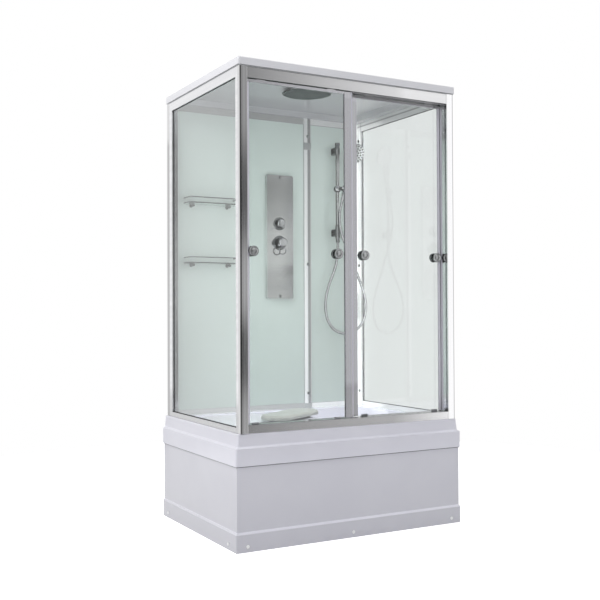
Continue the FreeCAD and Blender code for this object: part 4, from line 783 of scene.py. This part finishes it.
# painted shade on the part of the rear rails left of the column
RAILS_LOW, RAILS_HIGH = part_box("rear_rails")
SPLIT = (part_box("rear_centre_column")[0].x - RAILS_LOW.x) / (RAILS_HIGH.x - RAILS_LOW.x)
REAR_RAILS = [across("rear_rails", X, [(0.0, 0.64), (SPLIT - 0.004, 0.56), (SPLIT, 1.0),
                                       (1.0, 1.0)])]
# painted shadow on faces turned up (the top of the bottom rail) and painted shade on faces turned
# down (under the top rail)
UPWARDS = (UP, -1, 1, [(0.0, 1.0), (0.8, 1.0), (0.9, 0.28), (1.0, 0.28)])
DOWNWARDS = (UP, -1, 1, [(0.0, 0.28), (0.1, 0.28), (0.2, 1.0), (1.0, 1.0)])
# painted shade at the foot of the door frames and a painted highlight along their tops
STILE = [across("left_door_frame", Z, [(0.0, 0.78), (0.09, 0.78), (0.11, 1.0), (0.978, 1.0),
                                       (0.984, 1.12), (1.0, 1.12)])]
# painted shade at the foot of the left side frame
SIDE_LEFT = [across("left_side_frame", Z, [(0.0, 0.72), (0.05, 0.74), (0.10, 1.0), (1.0, 1.0)])]
# painted shade on the front rails, darker towards the left
RAIL_TOP = [across("front_top_rail", X, [(0.0, 0.50), (0.25, 0.58), (0.5, 0.74), (0.72, 0.86),
                                         (0.78, 1.0), (1.0, 1.0)]), DOWNWARDS]
RAIL_LOW = [across("front_bottom_rail", X, [(0.0, 0.42), (0.3, 0.45), (0.7, 0.52), (0.88, 0.80),
                                            (1.0, 1.0)]), UPWARDS]
# painted shadow lines near the front and rear edges and near the top of the right side frame
SIDE_RIGHT = [across("right_side_frame", Y, [(0.0, 0.30), (0.006, 0.30), (0.010, 1.0),
                                             (0.952, 1.0), (0.954, 0.42), (0.9585, 0.42),
                                             (0.9605, 1.0), (1.0, 1.0)]),
              across("right_side_frame", Z, [(0.0, 1.0), (0.9845, 1.0), (0.985, 0.34),
                                             (0.9885, 0.34), (0.9895, 1.0), (1.0, 1.0)])]

# What surfaces have in common: how a drawn profile's grain runs, and kinds of finish
ALONG_X, ALONG_Y, ALONG_Z = (0.2, 9, 9), (9, 0.2, 9), (9, 9, 0.2)
MOULDED = dict(rough=(0.16, 0.26), scale=3.0, grain=420.0, bump_strength=0.05,
               bump_distance=0.0003, coat=0.35)
POLISHED = dict(metallic=1.0, scale=14.0, grain=90.0, bump_strength=0.02)
DRAWN = dict(metallic=1.0, scale=5.0, grain=40.0, bump_strength=0.015, bump_distance=0.0002)
POST = dict(DRAWN, rough=(0.07, 0.12), stretch=ALONG_Z)
RAIL = dict(DRAWN, dark=(0.84, 0.84, 0.85), light=(0.88, 0.88, 0.89), rough=(0.10, 0.16),
            metallic=0.75, stretch=ALONG_X)
WHITE = dict(DRAWN, dark=(0.96, 0.965, 0.97), light=(0.98, 0.985, 0.99), metallic=0.0,
             bump_strength=0.01)
SOFT = dict(scale=20.0, grain=600.0)
SPRAY = dict(scale=30.0, grain=600.0)
SURFACES = {
    "acrylic": dict(MOULDED, dark=(0.80, 0.795, 0.875), light=(0.84, 0.835, 0.91), shades=TRAY),
    "skirting": dict(MOULDED, dark=(0.80, 0.795, 0.87), light=(0.84, 0.835, 0.905), shades=SKIRT),
    "roofing": dict(MOULDED, dark=(0.82, 0.82, 0.86), light=(0.86, 0.86, 0.895),
                    shades=UNDERSIDE),
    "chrome": dict(POLISHED, dark=(0.68, 0.68, 0.70), light=(0.78, 0.78, 0.79),
                   rough=(0.04, 0.09), shades=CHROME),
    # a darker copy of chrome: painted dark reflection on the knobs, brackets, fittings, flanges and
    # screws
    "darkened_chrome": dict(POLISHED, dark=(0.36, 0.37, 0.375), light=(0.45, 0.46, 0.465),
                   rough=(0.06, 0.14), shades=CHROME),
    # posts, side frames and door stiles are one drawn profile in lighter and darker copies: painted
    # light and shade for how light falls on each
    "post_left": dict(POST, dark=(0.68, 0.68, 0.69), light=(0.72, 0.72, 0.73), shades=POST_LEFT),
    "post_right": dict(POST, dark=(0.96, 0.96, 0.97), light=(0.98, 0.98, 0.99),
                       shades=POST_RIGHT),
    "post_rear": dict(POST, dark=(0.88, 0.88, 0.89), light=(0.93, 0.93, 0.94), shades=POST_REAR),
    "rail_top": dict(RAIL, shades=RAIL_TOP),
    "rail_low": dict(RAIL, shades=RAIL_LOW),
    # the two side frames are darker and lighter copies of the profile: painted shade and painted
    # light
    "side_left": dict(DRAWN, dark=(0.78, 0.78, 0.80), light=(0.84, 0.84, 0.855),
                      rough=(0.14, 0.22), stretch=ALONG_Y, shades=SIDE_LEFT),
    "side_right": dict(DRAWN, dark=(0.93, 0.935, 0.93), light=(0.96, 0.965, 0.96),
                       rough=(0.14, 0.22), metallic=0.2, stretch=ALONG_Y, shades=SIDE_RIGHT),
    # stiles: a darker copy of the profile, painted shade
    "stile": dict(DRAWN, dark=(0.455, 0.455, 0.48), light=(0.485, 0.485, 0.51),
                  rough=(0.14, 0.20), metallic=0.9, stretch=ALONG_Z, shades=STILE),
    # the rear right post in near white: a lit copy of the post, painted light
    "lit_white": dict(WHITE, rough=(0.2, 0.3), stretch=ALONG_Z),
    "column": dict(WHITE, rough=(0.10, 0.16), stretch=ALONG_Z, shades=COLUMN),
    # grey lip; also the painted shadow line under the roof
    "lip": dict(dark=(0.42, 0.43, 0.44), light=(0.48, 0.49, 0.50), rough=(0.3, 0.45),
                scale=20.0, grain=300.0, bump_strength=0.05),
    "brushed": dict(dark=(0.84, 0.84, 0.84), light=(0.88, 0.88, 0.88), rough=(0.12, 0.20),
                    metallic=1.0, scale=40.0, stretch=(0.25, 4, 6), grain=120.0,
                    bump_strength=0.03, bump_distance=0.0002, shades=PANEL),
    "steel": dict(dark=(0.50, 0.51, 0.53), light=(0.62, 0.63, 0.65), rough=(0.30, 0.5),
                  metallic=1.0, scale=22.0, grain=70.0, bump_strength=0.12),
    # grey plastic; also the painted shadow rings round the skirt screw caps
    "grey_plastic": dict(dark=(0.34, 0.35, 0.37), light=(0.38, 0.39, 0.41), rough=(0.35, 0.5),
                         scale=12.0, grain=900.0, bump_strength=0.15, bump_distance=0.0002),
    "seal": dict(dark=(0.78, 0.77, 0.86), light=(0.84, 0.83, 0.91), rough=(0.18, 0.30),
                 scale=5.0, stretch=(1, 1, 0.2), grain=200.0, bump_strength=0.08),
    # painted shade: the seat's dark grey-cream stands in for the shade on the seat
    "shaded_seat": dict(dark=(0.35, 0.36, 0.335), light=(0.39, 0.40, 0.375), rough=(0.24, 0.36),
                  scale=6.0, grain=500.0, bump_strength=0.12, bump_distance=0.0002, coat=0.15),
    "brass": dict(dark=(0.58, 0.40, 0.18), light=(0.70, 0.50, 0.24), rough=(0.2, 0.36),
                  metallic=1.0, scale=18.0, grain=120.0),
    # black rubber; also the painted shade in the screw crosses
    "black_rubber_and_shade": dict(SOFT, dark=(0.02, 0.02, 0.022), light=(0.04, 0.04, 0.042), rough=(0.5, 0.7),
                   bump_strength=0.2),
    # near black: the washers under the screws, and the painted shadow line under the tray's band
    "dark_washer_and_shadow": dict(SOFT, dark=(0.09, 0.09, 0.10), light=(0.13, 0.13, 0.14), rough=(0.4, 0.6),
                 bump_strength=0.1),
    "hose": dict(dark=(0.76, 0.76, 0.78), light=(0.88, 0.88, 0.89), rough=(0.10, 0.18),
                 metallic=0.85, scale=30.0, grain=160.0, bump_strength=0.04, shades=HOSE),
    "bar": dict(POLISHED, dark=(0.86, 0.87, 0.87), light=(0.93, 0.94, 0.94), rough=(0.05, 0.10),
                shades=BAR),
    "rear_rail": dict(WHITE, rough=(0.2, 0.3), stretch=ALONG_X, coat=0.3, shades=REAR_RAILS),
    "back_glass": dict(dark=(0.66, 0.745, 0.71), light=(0.69, 0.775, 0.74), rough=(0.05, 0.09),
                       scale=1.4, grain=30.0, bump_strength=0.0, coat=0.3, shades=WALL),
    "spray_face": dict(SPRAY, dark=(0.92, 0.93, 0.93), light=(0.96, 0.97, 0.97),
                       rough=(0.2, 0.3), bump_strength=0.05),
    # painted dark reflection on the face of the rain head
    "rain_face_shade": dict(SPRAY, dark=(0.09, 0.115, 0.11), light=(0.13, 0.155, 0.15),
                        rough=(0.6, 0.7), bump_strength=0.1, ior=1.08),
    "cap_white": dict(dark=(0.93, 0.93, 0.94), light=(0.97, 0.97, 0.98), rough=(0.12, 0.2),
                      scale=20.0, grain=400.0, bump_strength=0.03, coat=0.4),
}
GLASSES = {
    "glass": dict(tint=(0.87, 0.89, 0.885), passed=(0.94, 0.96, 0.955), rough=(0.0, 0.015)),
    "shelf_glass": dict(tint=(0.90, 0.96, 0.94), passed=(0.85, 0.92, 0.90), rough=(0.0, 0.02),
                        shades=SHELF_EDGE),
}
MATERIALS = {name: surface(name, **look) for name, look in SURFACES.items()}
MATERIALS.update({name: clear_glass(name, **look) for name, look in GLASSES.items()})

# All other nodes are chrome
SIDES = ("left", "right")
MATERIAL_OF = {
    "acrylic": ["tray_basin"],
    "skirting": ["front_skirt", "left_skirt", "right_skirt"],
    "cap_white": ["skirt_screw_caps"],
    "roofing": ["roof"],
    "steel": ["support_frame", "levelling_feet"],
    # the seat's grey is painted shade
    "shaded_seat": ["bath_seat"],
    "post_left": ["front_left_post"],
    "post_right": ["front_right_post"],
    "post_rear": ["rear_left_post"],
    # a lit copy of the post: painted light
    "lit_white": ["rear_right_post"],
    "rear_rail": ["rear_rails"],
    "bar": ["slide_bar"],
    "column": ["rear_centre_column"],
    "stile": ["left_door_frame", "right_door_frame"],
    "rail_top": ["front_top_rail"],
    "rail_low": ["front_bottom_rail"],
    "side_left": ["left_side_frame"],
    "side_right": ["right_side_frame"],
    "back_glass": ["rear_left_panel", "rear_right_panel"],
    "brushed": ["mixer_panel"],
    # a darker copy of chrome: painted dark reflection
    "darkened_chrome": ["left_door_knobs", "right_door_knobs", "bar_brackets", "shelf_fittings",
               "control_flanges", "wall_screws"],
    "brass": ["valve_body"],
    "seal": ["left_door_seals", "right_door_seals"],
    "grey_plastic": ["waste_trap", "left_door_guides", "right_door_guides"]
    + [f"{side}_door_{end}_roller" for side in SIDES for end in SIDES],
    "spray_face": ["hand_shower_face"],
    "glass": ["left_side_glass", "right_side_glass", "left_door_glass", "right_door_glass"],
    "shelf_glass": ["shelf_glasses"],
    "hose": ["shower_hose", "hose_boot"],
}
PIECE_MATERIALS = {
    "hose": ["hose", "hose_sleeve"],
    # the screw crosses are painted shade in their recesses
    "black_rubber_and_shade": ["panel_screws", "left_glazing", "right_glazing", "screw_cross_shades",
               "spray_nozzles"],
    # the line under the tray's band is painted shadow
    "dark_washer_and_shadow": ["band_shadow_line", "screw_washers"],
    # the line under the roof is painted shadow
    "lip": ["wall_glazing_left", "wall_glazing_right", "column_clips", "roof_shadow_line"],
    # the rings round the skirt screw caps are painted shadow
    "grey_plastic": ["cap_shadow_rings"],
    # the disc under the rain head is a painted dark reflection
    "rain_face_shade": ["rain_shade_disc"],
    "steel": ["foot_threads"],
}


def dress_nodes():
    named = {node: material for material, names in MATERIAL_OF.items() for node in names}
    for name, node in NODES.items():
        node.data.materials.clear()
        node.data.materials.append(MATERIALS[named.get(name, "chrome")])


def dress_pieces():
    for material, names in PIECE_MATERIALS.items():
        for name in names:
            bpy.data.objects[name].data.materials.append(MATERIALS[material])


# Rounded edges of the moulded and pressed pieces, as a finish over the solids' own meshes
SOFT_ANGLE = 38
SOFT_SEGMENTS = 2
SOFT_EDGES = (
    (0.0014, ["tray_basin", "front_skirt", "left_skirt", "right_skirt"]),
    (0.0009, ["roof", "bath_seat", "mixer_panel", "bar_brackets"]),
    (0.0006, ["front_left_post", "front_right_post", "front_top_rail", "front_bottom_rail",
              "left_side_frame", "right_side_frame", "rear_left_post", "rear_right_post",
              "rear_centre_column", "left_door_frame", "right_door_frame", "left_door_knobs",
              "right_door_knobs"]),
)


def soften(node, width):
    weld = node.modifiers.new("join", "WELD")
    weld.merge_threshold = WELD_DISTANCE
    edge = node.modifiers.new("soft_edge", "BEVEL")
    edge.width = width
    edge.segments = SOFT_SEGMENTS
    edge.limit_method = "ANGLE"
    edge.angle_limit = math.radians(SOFT_ANGLE)
    edge.harden_normals = True


dress_nodes()
dress_pieces()
for width, names in SOFT_EDGES:
    for name in names:
        soften(NODES[name], width)


# Studio: white surround, pale floor and soft lamps
AMBIENT = 0.38
AMBIENT_COLOUR = (0.97, 0.98, 1.0, 1)
FLOOR_GLOW = 0.80
FLOOR_COLOUR = (0.84, 0.84, 0.85, 1)
FLOOR_ROUGHNESS = 0.9
FLOOR_RADIUS = 3.0
FLOOR_SIDES = 96
# The dark end of the room: its bearing, and greys by closeness to that bearing and by height
DARK_END = (0.087, -0.996, 0.0)
DARK_COLOUR = (0.02, 0.02, 0.022)
DARK_SIDES = [(0.85, 0.0), (0.90, 0.10), (0.915, 0.22), (0.925, 0.50), (0.937, 0.96), (0.96, 1.0)]
DARK_HEIGHTS = [(0.08, 0.0), (0.26, 0.5), (0.40, 0.55), (0.43, 1.0), (0.485, 1.0), (0.505, 0.50),
                (0.56, 0.50), (0.60, 1.0), (0.66, 1.0), (0.70, 0.62), (0.78, 0.60), (0.92, 0.1)]
HEIGHT_LOW, HEIGHT_HIGH = -0.5, 0.5
# name, place, aim, width, height, watts, spread in degrees
LAMPS = (
    ("lamp_left", (-3.6, -1.0, 3.2), (0, 0, 1.4), 2.6, 2.6, 80.0, 180.0),
    ("lamp_front", (2.2, -4.2, 2.6), (0.1, 0, 1.1), 2.4, 2.4, 30.0, 180.0),
    ("lamp_top", (0.2, -0.2, 4.4), (0, 0, 1.0), 2.2, 2.2, 32.0, 180.0),
    ("lamp_back", (1.5, 3.6, 2.8), (0, 0, 1.1), 2.4, 2.4, 16.0, 180.0),
    ("lamp_wall", (-0.05, -0.33, 1.20), (-0.05, 1.0, 1.15), 0.9, 1.2, 2.6, 170.0),
    ("lamp_bench", (0.0, -0.10, 2.00), (0.0, -0.06, 0.5), 0.8, 0.4, 2.2, 60.0),
    ("lamp_corner", (0.50, 0.05, 1.28), (0.585, 0.44, 1.28), 0.04, 1.6, 2.0, 30.0),
)


def seen_ray(tree):
    # 1 for rays that show the surround: straight, mirrored or through glass
    path = add_node(tree, "ShaderNodeLightPath", {})
    seen = path["Is Camera Ray"]
    for name in ("Is Glossy Ray", "Is Transmission Ray"):
        seen = add_node(tree, "ShaderNodeMath", {0: seen, 1: path[name]}, "MAXIMUM")["Value"]
    return seen


def studio_wall(tree):
    # white all round; polished metal also mirrors the dark end of the room in front
    outward = add_node(tree, "ShaderNodeTexCoord", {})["Generated"]
    level = add_node(tree, "ShaderNodeVectorMath", {0: outward, 1: (1, 1, 0)}, "MULTIPLY")
    bearing = add_node(tree, "ShaderNodeVectorMath", {0: level["Vector"]}, "NORMALIZE")
    close = add_node(tree, "ShaderNodeVectorMath", {0: bearing["Vector"], 1: DARK_END},
                     "DOT_PRODUCT")
    height = add_node(tree, "ShaderNodeSeparateXYZ", {"Vector": outward})["Z"]
    sides = ramp(tree, close["Value"], greys(DARK_SIDES))
    lifted = map_range(tree, height, HEIGHT_LOW, HEIGHT_HIGH)
    heights = ramp(tree, lifted, greys(DARK_HEIGHTS))
    dark = add_node(tree, "ShaderNodeMath", {0: sides, 1: heights}, "MULTIPLY")
    path = add_node(tree, "ShaderNodeLightPath", {})
    mirrored = add_node(tree, "ShaderNodeMath", {0: dark["Value"], 1: path["Is Glossy Ray"]},
                        "MULTIPLY")
    return ramp(tree, mirrored["Value"], [(0.0, (1, 1, 1)), (1.0, DARK_COLOUR)])


def make_world():
    world = bpy.data.worlds.new("studio")
    scene.world = world
    world.use_nodes = True
    tree = world.node_tree
    shown = tree.nodes["Background"]
    feed(tree, shown, {"Color": studio_wall(tree), "Strength": 1.0})
    around = add_node(tree, "ShaderNodeBackground",
                      {"Color": AMBIENT_COLOUR, "Strength": AMBIENT})
    mix = add_node(tree, "ShaderNodeMixShader",
                   {"Fac": seen_ray(tree), 1: around["Background"],
                    2: shown.outputs["Background"]})
    feed(tree, tree.nodes["World Output"], {"Surface": mix["Shader"]})


def make_floor():
    mesh = bpy.data.meshes.new("floor")
    turns = [TAU * i / FLOOR_SIDES for i in range(FLOOR_SIDES)]
    corners = [(FLOOR_RADIUS * math.cos(turn), FLOOR_RADIUS * math.sin(turn), 0) for turn in turns]
    mesh.from_pydata(corners, [], [tuple(range(FLOOR_SIDES))])
    floor = add_object("floor", mesh)
    material, tree, shader = new_material("floor")
    glow = add_node(tree, "ShaderNodeMath", {0: seen_ray(tree), 1: FLOOR_GLOW}, "MULTIPLY")
    feed(tree, shader, {
        "Base Color": FLOOR_COLOUR,
        "Roughness": FLOOR_ROUGHNESS,
        "Emission Color": (1, 1, 1, 1),
        "Emission Strength": glow["Value"],
    })
    mesh.materials.append(material)


def make_lamps():
    for name, place, aim, width, height, watts, cone in LAMPS:
        data = bpy.data.lights.new(name, "AREA")
        data.shape = "RECTANGLE"
        data.size = width
        data.size_y = height
        data.spread = math.radians(cone)
        data.energy = watts
        lamp = bpy.data.objects.new(name, data)
        lamp.location = place
        lamp.rotation_euler = (Vector(aim) - Vector(place)).to_track_quat("-Z", "Y").to_euler()
        lamp.visible_glossy = False
        lamp.visible_transmission = False
        lamp.visible_camera = False
        scene.collection.objects.link(lamp)


make_world()
make_floor()
make_lamps()
scene.view_settings.view_transform = "Standard"
